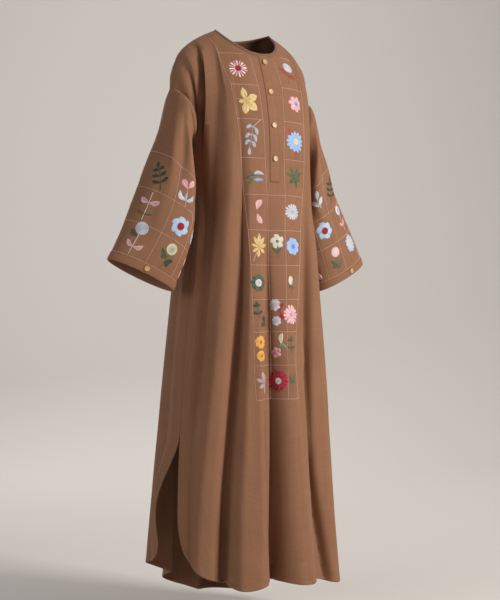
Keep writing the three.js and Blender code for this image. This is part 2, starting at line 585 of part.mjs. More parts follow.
// A point of a sleeve's plain tube: along runs from 0 at the armhole to 1 at the wrist, and ring is in degrees from the
// outer edge over the front. side is -1 for the right sleeve and 1 for the left.
function tubePoint(side, along, ring) {
  const read = (name) => column(SLEEVE, "at", name, along);
  const outer = vec(read("outerX") + (side > 0 ? read("further") : 0), 0, read("outerZ"));
  const inner = vec(read("innerX"), 0, read("innerZ"));
  const inwards = inner.clone().sub(outer).multiplyScalar(0.5);
  const grow = 1 + SLEEVE_FOLDS.reduce((sum, fold) => sum + sleeveFold(fold, along, ring), 0) / read("deep");
  const flat = -Math.cos(radians(ring)) * inwards.length() * grow;
  const deep = Math.sin(radians(ring)) * read(ring > 180 ? "behind" : "deep") * grow;
  const twist = radians(read("twist"));
  const found = outer.add(inner).multiplyScalar(0.5);
  found.addScaledVector(inwards.normalize(), flat * Math.cos(twist) + deep * Math.sin(twist));
  found.y = flat * -Math.sin(twist) - deep * Math.cos(twist) - read("ahead") * (side < 0 ? 1 : LEFT_SWING);
  const held = side > 0 ? 1 - smoothstep(along, 0.4, 1) : 0;
  found.add(vec(-LEFT_SHOULDER.inwards * held, LEFT_SHOULDER.back * held, 0));
  found.x *= side;
  return found;
}

// A point of a sleeve, which leaves its armhole along the tube and then grows into it.
function sleevePoint(side, along, ring) {
  const tube = tubePoint(side, along, ring);
  const leaving = armhole(side, ring).add(tube.clone().sub(tubePoint(side, 0, ring)));
  return leaving.lerp(tube, smoothstep(along, 0, 0.45));
}

// Rings of points down each stretch of a sleeve. The stretches part on a line across it, a seam's gap apart.
const SLEEVE_STRETCHES = { upper: [0, 0.05, 0.11, 0.18, 0.26, 0.35], middle: [0.35, 0.46, 0.58, 0.7], lower: [0.7, 0.84, 1] };

// A sleeve's points and normals. The left one runs the other way round, so that its normals point out.
function sleeveSurface(side, rows) {
  const rings = Array.from({ length: RING_STEPS }, (_, i) => (i * 360) / RING_STEPS);
  if (side > 0) rings.reverse();
  const grid = rows.map((along) => rings.map((ring) => sleevePoint(side, along, ring)));
  const normals = gridNormals(grid, { closed: true });
  return { rings, grid, normals };
}

// How far along the sleeve its cloth ends and the band begins.
const SLEEVE_LENGTH = sleevePoint(-1, 0, 90).distanceTo(sleevePoint(-1, 1, 90));
const BAND_START = 1 - CUFF_BAND / SLEEVE_LENGTH;
const SLEEVE_END = BAND_START - (2 * SEAM_GAP) / SLEEVE_LENGTH;
const SLEEVE_ROWS = Object.values(SLEEVE_STRETCHES).flatMap((rows) =>
  rows.map((along, i) => {
    const back = i === 0 && along > 0 ? 0.5 : i === rows.length - 1 && along < 1 ? -0.5 : 0;
    return along * SLEEVE_END + (back * SEAM_GAP) / SLEEVE_LENGTH;
  }),
);
const SLEEVES = { right: sleeveSurface(-1, SLEEVE_ROWS), left: sleeveSurface(1, SLEEVE_ROWS) };

// ---------------------------------------------------------------- front and back
const placesAcross = (folds) => [
  ...folds.slice(0, -1).flatMap((row, i) => Array.from({ length: row.columns }, (_, k) => i + k / row.columns)),
  folds.length - 1,
];

// Along the shoulder both panels share the normal that stands square to the seam.
function shoulderNormal(at) {
  const side = Math.sign(at);
  const reach = clamp(Math.abs(at), 31, 73);
  const along = topEdge(FRONT_TOP, side * (reach + 1)).point.sub(topEdge(FRONT_TOP, side * (reach - 1)).point);
  return vec(-along.z * side, 0, along.x * side).normalize();
}

// At the top of an armhole the panels and the sleeve share the normal halfway between their own. Below it the sleeve
// folds back under the panels, and each keeps its own.
function armholeNormal(panel, at, own) {
  const { rings, normals } = SLEEVES[at < 0 ? "right" : "left"];
  const turn = (180 * (Math.abs(at) - 74)) / 16;
  if (turn === 0) return shoulderNormal(at);
  const col = rings.findIndex((ring) => Math.abs(ring - (panel === FRONT ? turn : (360 - turn) % 360)) < 0.01);
  if (own.dot(normals[0][col]) < 0.35) return own;
  normals[0][col] = own.clone().add(normals[0][col]).normalize();
  return normals[0][col];
}

// A panel's points and normals. It steps back from the seams it shares with the other panel by half the gap.
function panelSurface(panel) {
  const places = placesAcross(panel.folds);
  if (panel === BACK) places.reverse();
  const tops = places.map((place) => topPlace(panel.folds, place));
  const grid = panelGrid(panel, places);
  const last = places.length - 1;
  const atShoulder = (row, col) => row === 0 && Math.abs(tops[col]) >= 30 && Math.abs(tops[col]) <= 74;
  const atSide = (col) => col === 0 || col === last;
  const edgeNormal = (row, col) => {
    if (atShoulder(row, col)) return shoulderNormal(tops[col]);
    if (atSide(col)) return vec(grid[row][col].x, grid[row][col].y * 0.3, 0).normalize();
    if (row === 0 && Math.abs(tops[col]) > 74) return armholeNormal(panel, tops[col], gridNormal(grid, row, col));
    return null;
  };
  const normals = gridNormals(grid, { edgeNormal });
  const back = (panel === FRONT ? -SEAM_GAP : SEAM_GAP) / 2;
  grid.forEach((points, row) =>
    points.forEach((point, col) => {
      if (atShoulder(row, col) || atSide(col)) point.y += back;
    }),
  );
  return { places, tops, grid, normals };
}

const FRONT_SURFACE = panelSurface(FRONT);
const BACK_SURFACE = panelSurface(BACK);

const panelMesh = (name, { grid, normals }) =>
  named(name, wall(grid, normals, { from: -CLOTH, to: 0 }), COTTON, 0.85);

// ---------------------------------------------------------------- placket, binding and buttons
// The placket lies on the middle of the front, from just below the neck binding.
function placketMesh() {
  const first = foldNamed(FRONT_FOLDS, "panel hollow");
  const start = FRONT_SURFACE.places.indexOf(first) + 1;
  const columns = [0, 1, 2, 3].map((i) => start + i);
  const end = YOKE_ROWS.length + SKIRT_ROWS.indexOf(PLACKET.end);
  const pick = (rows) => rows.slice(1, end + 1).map((row) => columns.map((col) => row[col].clone()));
  const to = PLACKET.lift + PLACKET.thickness;
  return named(
    "placket",
    wall(pick(FRONT_SURFACE.grid), pick(FRONT_SURFACE.normals), { from: PLACKET.lift, to }),
    COTTON,
    0.85,
  );
}

// The neck edge right round, from the wearer's right shoulder over the front, and the cloth just below it.
function neckRing() {
  const stations = ({ tops, grid, normals }) =>
    tops.flatMap((at, col) =>
      Math.abs(at) <= 30 ? [[0, 1].map((row) => ({ point: grid[row][col].clone(), normal: normals[row][col] }))] : [],
    );
  const onShoulder = (at) => {
    const { point } = topEdge(FRONT_TOP, at);
    const outwards = topEdge(FRONT_TOP, at * 1.1).point.sub(point).setLength(BINDING.width);
    const normal = shoulderNormal(at);
    return [{ point, normal }, { point: point.clone().add(outwards), normal }];
  };
  return [...stations(FRONT_SURFACE), onShoulder(30), ...stations(BACK_SURFACE), onShoulder(-30)];
}

// A strip folded over the neck edge, with one leg on each face of the cloth.
function bindingMesh() {
  const { width, thickness, gap } = BINDING;
  const inside = -CLOTH - gap;
  const section = [
    [gap, width], [gap + thickness, width], [gap + thickness, -gap - thickness], [inside - thickness, -gap - thickness],
    [inside - thickness, width * 0.8], [inside, width * 0.8], [inside, -gap], [gap, -gap],
  ];
  const ring = neckRing();
  const points = ring.flatMap(([edge, under]) => {
    const length = edge.point.distanceTo(under.point);
    return section.map(([out, below]) => {
      const share = (below > 0 ? Math.min(below, length) : below) / length;
      const normal = edge.normal.clone().lerp(under.normal, clamp(share, 0, 1)).normalize();
      return edge.point.clone().lerp(under.point, share).addScaledVector(normal, out);
    });
  });
  const sides = section.length;
  const at = (i, k) => (i % ring.length) * sides + (k % sides);
  const index = ring.flatMap((_, i) =>
    section.flatMap((_, k) => [at(i, k), at(i + 1, k + 1), at(i, k + 1), at(i, k), at(i + 1, k), at(i + 1, k + 1)]),
  );
  return named("neck_binding", shell(points, index), COTTON, 0.85);
}

// A flat wooden button with two holes and eased edges, lying with its back on the plane z = 0.
function buttonGeometry() {
  const { radius, thickness, ease, hole, holeSpacing } = BUTTON;
  const circle = (x, r, z, sides) =>
    Array.from({ length: sides }, (_, i) => {
      const turn = (2 * Math.PI * i) / sides;
      return vec(x + r * Math.cos(turn), r * Math.sin(turn), z);
    });
  const rim = [[radius - ease, 0], [radius, ease], [radius, thickness - ease], [radius - ease, thickness]];
  const bores = [-1, 1].map((side) => [0, thickness].map((z) => circle((side * holeSpacing) / 2, hole, z, 8)));
  const loops = [...rim.map(([r, z]) => circle(0, r, z, 20)), ...bores.flat()];
  const starts = loops.map((_, i) => loops.slice(0, i).reduce((sum, loop) => sum + loop.length, 0));
  const index = [];
  // A band of faces from one loop to another, facing away from the loops' middle when upper is above lower.
  const band = (lower, upper) =>
    loops[lower].forEach((_, i) => {
      const next = (i + 1) % loops[lower].length;
      const [a, b, c, d] = [starts[lower] + i, starts[lower] + next, starts[upper] + next, starts[upper] + i];
      index.push(a, b, c, a, c, d);
    });
  [[0, 1], [1, 2], [2, 3], [5, 4], [7, 6]].forEach(([lower, upper]) => band(lower, upper));
  for (const [outer, holes, up] of [[3, [5, 7], true], [0, [4, 6], false]]) {
    const used = [outer, ...holes].flatMap((loop) => loops[loop].map((_, i) => starts[loop] + i));
    for (const [a, b, c] of THREE.ShapeUtils.triangulateShape(loops[outer], holes.map((hole) => loops[hole]))) {
      index.push(...(up ? [a, b, c] : [a, c, b]).map((corner) => used[corner]));
    }
  }
  return shell(loops.flat(), index);
}

// A button at a point of the cloth, with its back towards the cloth.
function buttonMesh(name, point, normal, lift) {
  const mesh = named(name, buttonGeometry(), WOOD, 0.5);
  mesh.quaternion.setFromUnitVectors(vec(0, 0, 1), normal);
  mesh.position.copy(point).addScaledVector(normal, lift);
  return mesh;
}

// Where the middle of the front stands at a height, and the way that it faces.
function frontMiddle(z) {
  const { grid, normals, places } = FRONT_SURFACE;
  const left = places.indexOf(foldNamed(FRONT_FOLDS, "panel hollow")) + 2;
  const middle = (rows, row) => rows[row][left].clone().add(rows[row][left + 1]).multiplyScalar(0.5);
  let row = 0;
  while (middle(grid, row + 1).z > z) row++;
  const [upper, lower] = [middle(grid, row), middle(grid, row + 1)];
  const share = (z - upper.z) / (lower.z - upper.z);
  return {
    point: upper.clone().lerp(lower, share),
    normal: middle(normals, row).lerp(middle(normals, row + 1), share).normalize(),
  };
}

const frontButtons = () =>
  FRONT_BUTTON_HEIGHTS.map((z, i) => {
    const { point, normal } = frontMiddle(z);
    return buttonMesh(`button_${i + 1}`, point, normal, PLACKET.lift + PLACKET.thickness + 2 * SEAM_GAP);
  });

// ---------------------------------------------------------------- sleeves, cuff bands and their buttons
function sleeveMeshes(side, label) {
  const { grid, normals } = SLEEVES[label];
  normals[0][SLEEVES[label].rings.indexOf(0)] = shoulderNormal(side * 74);
  grid[0].forEach((point, col) => point.addScaledVector(grid[1][col].clone().sub(point).normalize(), SLEEVE_STEP));
  const band = sleeveSurface(side, [BAND_START, (BAND_START + 1) / 2, 1]);
  const hidden = 1.5 * SEAM_GAP;
  const starts = Object.values(SLEEVE_STRETCHES).map((_, i, all) => all.slice(0, i).flat().length);
  for (const first of starts.slice(1)) {
    // Both sides of the line share their normals, so that their ends stay parallel.
    normals[first] = normals[first].map((normal, col) => normal.clone().add(normals[first - 1][col]).normalize());
    normals[first - 1] = normals[first];
  }
  const stretches = Object.entries(SLEEVE_STRETCHES).map(([stretch, rows], i) => {
    const cut = (list) => list.slice(starts[i], starts[i] + rows.length);
    const cloth = wall(cut(grid), cut(normals), { from: -CLOTH - hidden, to: -hidden, closed: true });
    return named(`sleeve_${label}_${stretch}`, cloth, COTTON, 0.85);
  });
  const col = band.rings.reduce((best, ring, i) => {
    const nearer = Math.abs(ring - CUFF_BUTTON_RING) < Math.abs(band.rings[best] - CUFF_BUTTON_RING);
    return nearer ? i : best;
  }, 0);
  return [
    ...stretches,
    named(
      `cuff_band_${label}`,
      wall(band.grid, band.normals, { from: -CLOTH, to: CUFF_LIFT, closed: true }),
      COTTON,
      0.85,
    ),
    buttonMesh(`cuff_button_${label}`, band.grid[1][col], band.normals[1][col], CUFF_LIFT + 3 * SEAM_GAP),
  ];
}

const dress = new THREE.Group();
dress.add(panelMesh("front", FRONT_SURFACE), panelMesh("back", BACK_SURFACE));
dress.add(...sleeveMeshes(-1, "right"), ...sleeveMeshes(1, "left"));
dress.add(placketMesh(), bindingMesh(), ...frontButtons());

export default dress;
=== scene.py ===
"""A mukhawar: a floor-length, A-line dress of brown cotton, worn but empty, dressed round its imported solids.

Cloth is worked out in millimetres from the same sections, top edges and folds as the solids, then made in metres.
The front faces -Y, the wearer's left is +X, and the origin is level with the neck points.
"""
import math
from collections import namedtuple

import bmesh
import bpy
import numpy as np
from mathutils import Matrix, Vector


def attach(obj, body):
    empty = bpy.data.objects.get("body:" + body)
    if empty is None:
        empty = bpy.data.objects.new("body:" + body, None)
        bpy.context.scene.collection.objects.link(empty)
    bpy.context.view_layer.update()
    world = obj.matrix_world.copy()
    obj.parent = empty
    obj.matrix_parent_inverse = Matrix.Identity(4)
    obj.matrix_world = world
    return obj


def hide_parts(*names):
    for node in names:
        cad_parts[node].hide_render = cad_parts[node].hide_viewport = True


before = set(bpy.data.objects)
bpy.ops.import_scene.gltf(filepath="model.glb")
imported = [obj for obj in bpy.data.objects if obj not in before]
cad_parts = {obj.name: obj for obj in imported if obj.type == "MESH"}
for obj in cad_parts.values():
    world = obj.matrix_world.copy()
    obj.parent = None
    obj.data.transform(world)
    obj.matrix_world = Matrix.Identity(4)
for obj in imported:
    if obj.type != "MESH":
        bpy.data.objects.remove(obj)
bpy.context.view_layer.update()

MM = 0.001

# ---------------------------------------------------------------- the dress's sizes, in millimetres
CLOTH = 1.1  # thickness of the cloth as it shows
CHEST = -330  # height of the first full ring, just below the underarms
SLIT_TOP = -1040
PLACKET_END = -405
CUFF_BAND = 26
HEM_TURN = 10  # width of the turned hem along the slits and the bottom

Section = namedtuple("Section", "z half front back square")
TopEdge = namedtuple("TopEdge", "at x y z dx dy dz")
Fold = namedtuple("Fold", "name top angles outs")
HemHeight = namedtuple("HemHeight", "angle z")
Corner = namedtuple("Corner", "width height")
SleeveRing = namedtuple("SleeveRing", "at outer_x outer_z inner_x inner_z deep behind ahead twist further")
SleeveFold = namedtuple("SleeveFold", "ring out spread start peak end")

SECTIONS = [
    Section(-330, 166, 146, 118, 2.6),
    Section(-450, 167, 151, 118, 2.6),
    Section(-580, 184, 158, 138, 2.5),
    Section(-700, 195, 168, 154, 2.4),
    Section(-960, 217, 193, 180, 2.3),
    Section(-1240, 238, 218, 208, 2.2),
    Section(-1500, 254, 238, 232, 2.1),
]
FRONT_TOP = [
    TopEdge(0, 0, -88, -70, 0, -0.42, -0.9),
    TopEdge(10, 27, -84, -66, 0.02, -0.45, -0.88),
    TopEdge(18, 54, -67, -51, 0.12, -0.6, -0.78),
    TopEdge(25, 75, -36, -27, 0.4, -0.6, -0.68),
    TopEdge(30, 84, 5, 0, 0.45, -0.68, -0.58),
    TopEdge(40, 122, 8, -17, 0.05, -0.87, -0.48),
    TopEdge(50, 158, 9, -38, 0, -0.9, -0.43),
    TopEdge(58, 188, 9, -64, -0.05, -0.93, -0.36),
    TopEdge(66, 210, 7, -106, -0.2, -0.95, -0.22),
    TopEdge(74, 225, 3, -163, -0.45, -0.88, 0.05),
    TopEdge(78, 219, -43, -182, -0.62, -0.7, -0.3),
    TopEdge(82, 207, -66, -216, -0.66, -0.3, -0.7),
    TopEdge(86, 186, -50, -262, -0.5, 0.1, -0.87),
    TopEdge(90, 167, 2, -298, -0.05, 0, -1),
]
BACK_TOP = [
    TopEdge(0, 0, 66, -14, 0, 0.5, -0.86),
    TopEdge(10, 27, 63, -12, 0.02, 0.5, -0.86),
    TopEdge(18, 54, 51, -8, 0.15, 0.62, -0.76),
    TopEdge(25, 74, 31, -3, 0.45, 0.7, -0.55),
    TopEdge(30, 84, 5, 0, 0.5, 0.75, -0.43),
    TopEdge(40, 122, 8, -17, 0.05, 0.89, -0.45),
    TopEdge(50, 158, 9, -38, 0, 0.9, -0.43),
    TopEdge(58, 188, 9, -64, -0.05, 0.93, -0.36),
    TopEdge(66, 210, 7, -106, -0.2, 0.95, -0.22),
    TopEdge(74, 225, 3, -163, -0.45, 0.88, 0.05),
    TopEdge(78, 217, 34, -184, -0.62, 0.7, -0.3),
    TopEdge(82, 200, 49, -218, -0.66, 0.3, -0.7),
    TopEdge(86, 182, 40, -263, -0.5, -0.1, -0.87),
    TopEdge(90, 167, 2, -298, -0.05, 0, -1),
]
FRONT_FOLDS = [
    Fold("right seam", -90, (-88, -77, -78, -78, -75, -73.5), (0, -2, 0, 2, 2, 8, 8)),
    Fold("right armhole head", -74, (-80.5, -71.5, -73, -73, -70.5, -69), (0, 0, 4, 5, 5, 11, 12)),
    Fold("right cap crest", -68, (-79, -70.3, -72, -72, -69.7, -68.2), (6, -1, 2, 5, 5, 12, 13)),
    Fold("right cap crease", -62, (-77.5, -69.1, -71, -71, -68.8, -67.4), (-7, -3, 0, 4, 4, 12, 14)),
    Fold("right cap fold", -56, (-75.5, -67.8, -70, -70, -68, -66.5), (7, -5, -2, 3, 3, 12, 15)),
    Fold("right armpit crease", -49.5, (-72.5, -66.3, -69, -69, -67, -65.5), (-15, -9, -5, 1, 2, 12, 15)),
    Fold("right breast fold", -46.5, (-67, -64.5, -67.7, -67.8, -66, -64.3), (5, 2, -7, 0, 2, 12, 15)),
    Fold("right side hollow", -41.5, (-57, -60.5, -65, -65.8, -64.5, -62.8), (-5, -8, -12, -2, 2, 12, 16)),
    Fold("right pipe", -30, (-42, -47, -54, -55.5, -58.5, -58.5), (2, 5, 11, 16, 17, 20, 22)),
    Fold("right hollow", -24, (-34.5, -33.5, -39, -40.5, -44, -45.3), (-1, -4, -14, -24, -25, -28, -30)),
    Fold("panel pipe crest", -19, (-27, -27, -29.5, -30, -32, -33), (0, 2, 6, 10, 12, 18, 23)),
    Fold("panel pipe edge", -14.5, (-18.5, -20, -22, -22.5, -23, -23.5), (0, 1, 4, 8, 10, 16, 22)),
    Fold("panel hollow", -10, (-10.3, -10, -10, -10.3, -11.8, -12), (0, 0, -7, -27, -31, -42, -50)),
    Fold("middle pipe", 10, (10.3, 7, 3, 3, 4.5, 4.5), (0, 0, 4, 12, 14, 20, 26)),
    Fold("left hollow", 30, (40, 36, 34, 33.5, 33, 33.5), (-3, -7, -13, -29, -33, -46, -52)),
    Fold("left pipe", 41.5, (57, 55, 54, 54, 52, 51), (6, 4, 7, 5, 3, 3, 8)),
    Fold("left side hollow", 46.5, (68, 67, 66, 66, 65, 65), (2, -7, -12, -18, -20, -26, -30)),
    Fold("left armpit crease", 49.5, (72.5, 73, 72.5, 72.5, 71, 71), (-13, -8, -6, -6, -6, -8, -10)),
    Fold("left cap fold", 56, (75.5, 75.5, 75, 75, 73.5, 73.5), (6, -5, 0, 2, 2, 3, 4)),
    Fold("left cap crease", 62, (77.5, 77.5, 77, 77, 75.5, 75.5), (-6, -3, 2, 6, 6, 9, 11)),
    Fold("left cap crest", 68, (79, 79, 78.7, 78.7, 77.2, 77.2), (5, -1, 3, 7, 7, 11, 14)),
    Fold("left armhole head", 74, (80.5, 80.5, 80.3, 80.3, 79, 79), (0, 0, 4, 7, 7, 12, 15)),
    Fold("left seam", 90, (88, 88, 87, 87, 85, 85), (0, -2, 0, 2, 2, 7, 8)),
]
BACK_FOLDS = [
    Fold("right seam", -90, (-88, -77, -78, -78, -97, -80), (0, -2, 0, 2, 2, 12, 4)),
    Fold("right armhole head", -74, (-95, -82.5, -83.5, -83.5, -101.5, -87), (0, 0, 3, 5, 5, 13, 7)),
    Fold("right cap crest", -68, (-97, -84, -85, -85, -103, -89.5), (3, 0, 4, 7, 7, 13, 9)),
    Fold("right cap crease", -62, (-99, -85.6, -86.5, -86.6, -104.5, -92), (-5, -2, 3, 7, 7, 13, 10)),
    Fold("right cap fold", -56, (-101.5, -87.5, -88.3, -88.5, -106, -95), (4, -3, 1, 5, 5, 11, 9)),
    Fold("right shoulder crease", -49.5, (-105.5, -90.5, -91.3, -91.5, -108, -99), (-14, -8, -4, -2, -2, 6, 5)),
    Fold("right back hollow", -46.5, (-114, -99, -99.5, -100, -114, -108), (2, -3, -9, -11, -11, -4, -6)),
    Fold("right back pipe", -41.5, (-126, -115, -116, -117, -124, -124), (2, 2, -1, 4, 5, 11, 15)),
    Fold("right inner hollow", -30, (-140, -132, -131, -131, -140, -142), (-1, -4, -9, -17, -19, -26, -34)),
    Fold("right centre pipe", -19, (-155, -149, -148, -148, -154, -157), (0, 2, 7, 14, 16, 22, 28)),
    Fold("centre hollow", -7, (-170, -168, -166, -166, -171, -174), (0, -2, -7, -15, -17, -26, -34)),
    Fold("left centre pipe", 6, (-186, -187, -186, -186, -188, -190), (0, 2, 7, 14, 16, 24, 28)),
    Fold("left inner hollow", 18, (-203, -205, -205, -205, -206, -207), (-1, -3, -9, -18, -20, -28, -36)),
    Fold("left back pipe", 30, (-219, -222, -222, -222, -222, -222), (2, 3, 8, 14, 16, 22, 26)),
    Fold("left back hollow", 41.5, (-233, -237, -237, -237, -236, -237), (-2, -5, -9, -16, -18, -25, -30)),
    Fold("left side pipe", 46.5, (-245, -249, -248, -248, -247, -248), (2, 0, 4, 8, 9, 13, 15)),
    Fold("left shoulder crease", 49.5, (-253, -256, -254.5, -254.5, -253, -253.5), (-14, -8, -4, 1, 1, 3, 3)),
    Fold("left cap fold", 56, (-256, -258.5, -257, -257, -255.5, -256), (4, -4, -1, 2, 2, 5, 5)),
    Fold("left cap crease", 62, (-258.5, -260.8, -259.5, -259.5, -258, -258.5), (-5, -2, 1, 4, 4, 8, 8)),
    Fold("left cap crest", 68, (-260.8, -263, -262, -262, -260.5, -261), (3, 0, 3, 6, 6, 10, 11)),
    Fold("left armhole head", 74, (-263, -265, -264.5, -264.5, -263, -263.5), (0, 0, 3, 6, 6, 11, 12)),
    Fold("left seam", 90, (-272, -272, -273, -273, -270, -270), (0, -2, 0, 2, 2, 7, 8)),
]
FRONT_HEM = [
    HemHeight(-80, -1405),
    HemHeight(-45, -1412),
    HemHeight(-31, -1421),
    HemHeight(-12, -1408),
    HemHeight(3, -1416),
    HemHeight(33, -1425),
    HemHeight(48, -1444),
    HemHeight(88, -1420),
]
BACK_HEM = [
    HemHeight(-272, -1440),
    HemHeight(-235, -1490),
    HemHeight(-190, -1520),
    HemHeight(-165, -1490),
    HemHeight(-150, -1458),
    HemHeight(-123, -1400),
    HemHeight(-100, -1378),
    HemHeight(-78, -1352),
]
SLEEVE = [
    SleeveRing(0, 222, -165, 168, -298, 62, 46, 0, 0, 0),
    SleeveRing(0.2, 252, -262, 187, -372, 72, 50, 16, 5, 0),
    SleeveRing(0.4, 294, -352, 192, -448, 75, 54, 31, 9, 16),
    SleeveRing(0.6, 333, -438, 202, -524, 72, 54, 42, 10, 18),
    SleeveRing(0.8, 372, -522, 222, -604, 61, 52, 44, 8, 13),
    SleeveRing(1, 414, -604, 247, -684, 45, 45, 38, 6, 0),
]
SLEEVE_FOLDS = [
    SleeveFold(45, 6, 15, 0, 0.2, 0.7),
    SleeveFold(75, -6, 12, 0, 0.2, 0.6),
    SleeveFold(105, 6, 13, 0, 0.22, 0.75),
    SleeveFold(138, -7, 13, 0, 0.3, 0.9),
    SleeveFold(228, -8, 15, 0, 0.25, 0.9),
    SleeveFold(264, 6, 15, 0, 0.2, 0.8),
    SleeveFold(305, -6, 15, 0, 0.2, 0.7),
]

ANGLE_LEVELS = (-330, -580, -960, -1040, -1240, -1430)  # heights of a fold's angles: chest, hip, knee, slit, calf, hem
OUT_LEVELS = (-190,) + ANGLE_LEVELS  # and of its outs, which start at the yoke
FRONT_CORNER = Corner(150, 165)
BACK_CORNER = Corner(60, 50)
LEFT_SHOULDER = {"back": 18, "inwards": 12}
LEFT_SWING = -0.5
TOP_PARTS = ((0, 30), (30, 74), (74, 90))  # neck, shoulder seam and armhole


# ---------------------------------------------------------------- small helpers
def through(xs, ys, x):
    """A smooth curve through the points that never overshoots them, read at x."""
    xs, ys, x = np.array(xs, float), np.array(ys, float), np.asarray(x, float)
    if xs[0] > xs[-1]:
        xs, ys = xs[::-1], ys[::-1]
    wide = np.diff(xs)
    slope = np.diff(ys) / wide
    tangent = np.concatenate([slope[:1], np.zeros(len(xs) - 2), slope[-1:]])
    for i in range(1, len(xs) - 1):
        before, after, w, n = slope[i - 1], slope[i], wide[i], wide[i - 1]
        if before * after > 0:
            tangent[i] = 3 * (w + n) / ((2 * w + n) / before + (w + 2 * n) / after)
    held = np.clip(x, xs[0], xs[-1])
    i = np.clip(np.searchsorted(xs, held, side="right") - 1, 0, len(xs) - 2)
    t = (held - xs[i]) / wide[i]
    t2, t3 = t * t, t * t * t
    return (
        (2 * t3 - 3 * t2 + 1) * ys[i] + (t3 - 2 * t2 + t) * wide[i] * tangent[i]
        + (3 * t2 - 2 * t3) * ys[i + 1] + (t3 - t2) * wide[i] * tangent[i + 1]
    )


def column(table, key, name, x):
    return through([getattr(row, key) for row in table], [getattr(row, name) for row in table], x)


def eased(x, start, end):
    t = np.clip((np.asarray(x, float) - start) / (end - start), 0, 1)
    return t * t * (3 - 2 * t)


def mixed(a, b, share):
    return a + (b - a) * share


def unit(v):
    return v / np.maximum(np.linalg.norm(v, axis=-1, keepdims=True), 1e-12)


# ---------------------------------------------------------------- the body's surface
class Panel:
    """The front or the back. A place across it counts its folds: 2.5 is halfway between its third and fourth."""

    def __init__(self, name, top, folds, hem, corner):
        self.name, self.top, self.folds, self.hem, self.corner = name, top, folds, hem, corner
        self.last = len(folds) - 1

    def between(self, values, place):
        """A value stated by fold, read at places: the two folds' own values and the share between them."""
        i = np.clip(np.floor(place).astype(int), 0, self.last - 1)
        pick = lambda k: np.take_along_axis(values, k[None], 0)[0]
        return pick(i), pick(i + 1), place - i

    def angle(self, place, z):
        at = np.array([through(ANGLE_LEVELS, row.angles, z) for row in self.folds])
        a, b, share = self.between(at, place)
        return mixed(a, b, share)

    def out(self, place, z):
        at = np.array([through(OUT_LEVELS, row.outs, z) for row in self.folds])
        a, b, share = self.between(at, place)
        share = np.clip(share, 0, 1)
        crested = np.where(a > b, 1 - (1 - share**2.2) ** 0.8, (1 - (1 - share) ** 2.2) ** 0.8)
        return mixed(a, b, mixed(eased(share, 0, 1), crested, 0.5))

    def skirt(self, place, z):
        """Points between the chest and the hem."""
        angle, out = self.angle(place, z), self.out(place, z)
        side, ahead = np.sin(np.radians(angle)), np.cos(np.radians(angle))
        half, square = column(SECTIONS, "z", "half", z), column(SECTIONS, "z", "square", z)
        depth = np.where(ahead > 0, column(SECTIONS, "z", "front", z), column(SECTIONS, "z", "back", z))
        reach = (np.abs(side / half) ** square + np.abs(ahead / depth) ** square) ** (-1 / square)
        return np.stack([side * (reach + out), -ahead * (reach + out), np.broadcast_to(z, side.shape)], -1)

    def top_place(self, place):
        return np.interp(place, np.arange(self.last + 1), [row.top for row in self.folds])

    def yoke(self, place, share):
        """Points between the top edge, at share 0, and the chest, at share 1."""
        point, leaving = top_edge(self.top, self.top_place(place))
        level = np.full(place.shape, float(CHEST))
        ring, below = self.skirt(place, level), self.skirt(place, level - 20)
        reach = np.linalg.norm(point - ring, axis=-1, keepdims=True) * 0.36
        handle, held = point + leaving * reach, ring - unit(below - ring) * reach
        t = share[..., None]
        found = (1 - t) ** 3 * point + 3 * (1 - t) ** 2 * t * handle + 3 * (1 - t) * t * t * held + t**3 * ring
        away = unit(found * (1, 1, 0))
        out = self.out(place, np.full(place.shape, -190.0)) * np.sin(np.pi * share**0.8).clip(0) ** 1.3
        return found + away * out[..., None]

    def hem_height(self, place):
        level = np.full(place.shape, -1430.0)
        angle = self.angle(place, level)
        ends = [self.angle(np.full(place.shape, float(end)), level) for end in (0, self.last)]
        radius = float(column(SECTIONS, "z", "half", -1430))
        from_slit = np.minimum(*[np.abs(angle - end) for end in ends]) * math.radians(1) * radius
        in_corner = 1 - np.clip(from_slit / self.corner.width, 0, 1)
        return column(self.hem, "angle", "z", angle) + self.corner.height * (1 - np.sqrt(1 - in_corner**2))

    def points(self, place, down):
        """Points at a place across and a way down: 0 the top edge, 1 the chest, 2 the slits' top and 3 the hem."""
        place, down = np.broadcast_arrays(np.asarray(place, float), np.asarray(down, float))
        z = np.where(
            down < 2,
            mixed(CHEST, SLIT_TOP, np.clip(down - 1, 0, 1)),
            mixed(SLIT_TOP, self.hem_height(place), np.clip(down - 2, 0, 1)),
        )
        found = np.where((down < 1)[..., None], self.yoke(place, np.clip(down, 0, 1)), self.skirt(place, z))
        return found


def top_edge(table, at):
    side, reach = np.where(at < 0, -1.0, 1.0), np.abs(at)
    found = {}
    for name in ("x", "y", "z", "dx", "dy", "dz"):
        value = np.zeros(reach.shape)
        for start, end in reversed(TOP_PARTS):
            rows = [row for row in table if start <= row.at <= end]
            value = np.where(reach <= end, column(rows, "at", name, reach), value)
        found[name] = value
    held = np.where(side > 0, eased(reach, 34, 70) * (1 - eased(reach, 80, 90)), 0)
    point = np.stack([side * (found["x"] - LEFT_SHOULDER["inwards"] * held), found["y"]
        + LEFT_SHOULDER["back"] * held, found["z"]], -1)
    return point, unit(np.stack([side * found["dx"], found["dy"], found["dz"]], -1))


FRONT = Panel("front", FRONT_TOP, FRONT_FOLDS, FRONT_HEM, FRONT_CORNER)
BACK = Panel("back", BACK_TOP, BACK_FOLDS, BACK_HEM, BACK_CORNER)


# ---------------------------------------------------------------- the sleeves' surface
def sleeve_fold(fold, along, ring):
    across = np.exp(-(((ring - fold.ring) / fold.spread) ** 2))
    rising = eased(along, fold.start, fold.peak)
    falling = 1 - eased(along, fold.peak, fold.end)
    return fold.out * across * np.where(along < fold.peak, rising, falling)


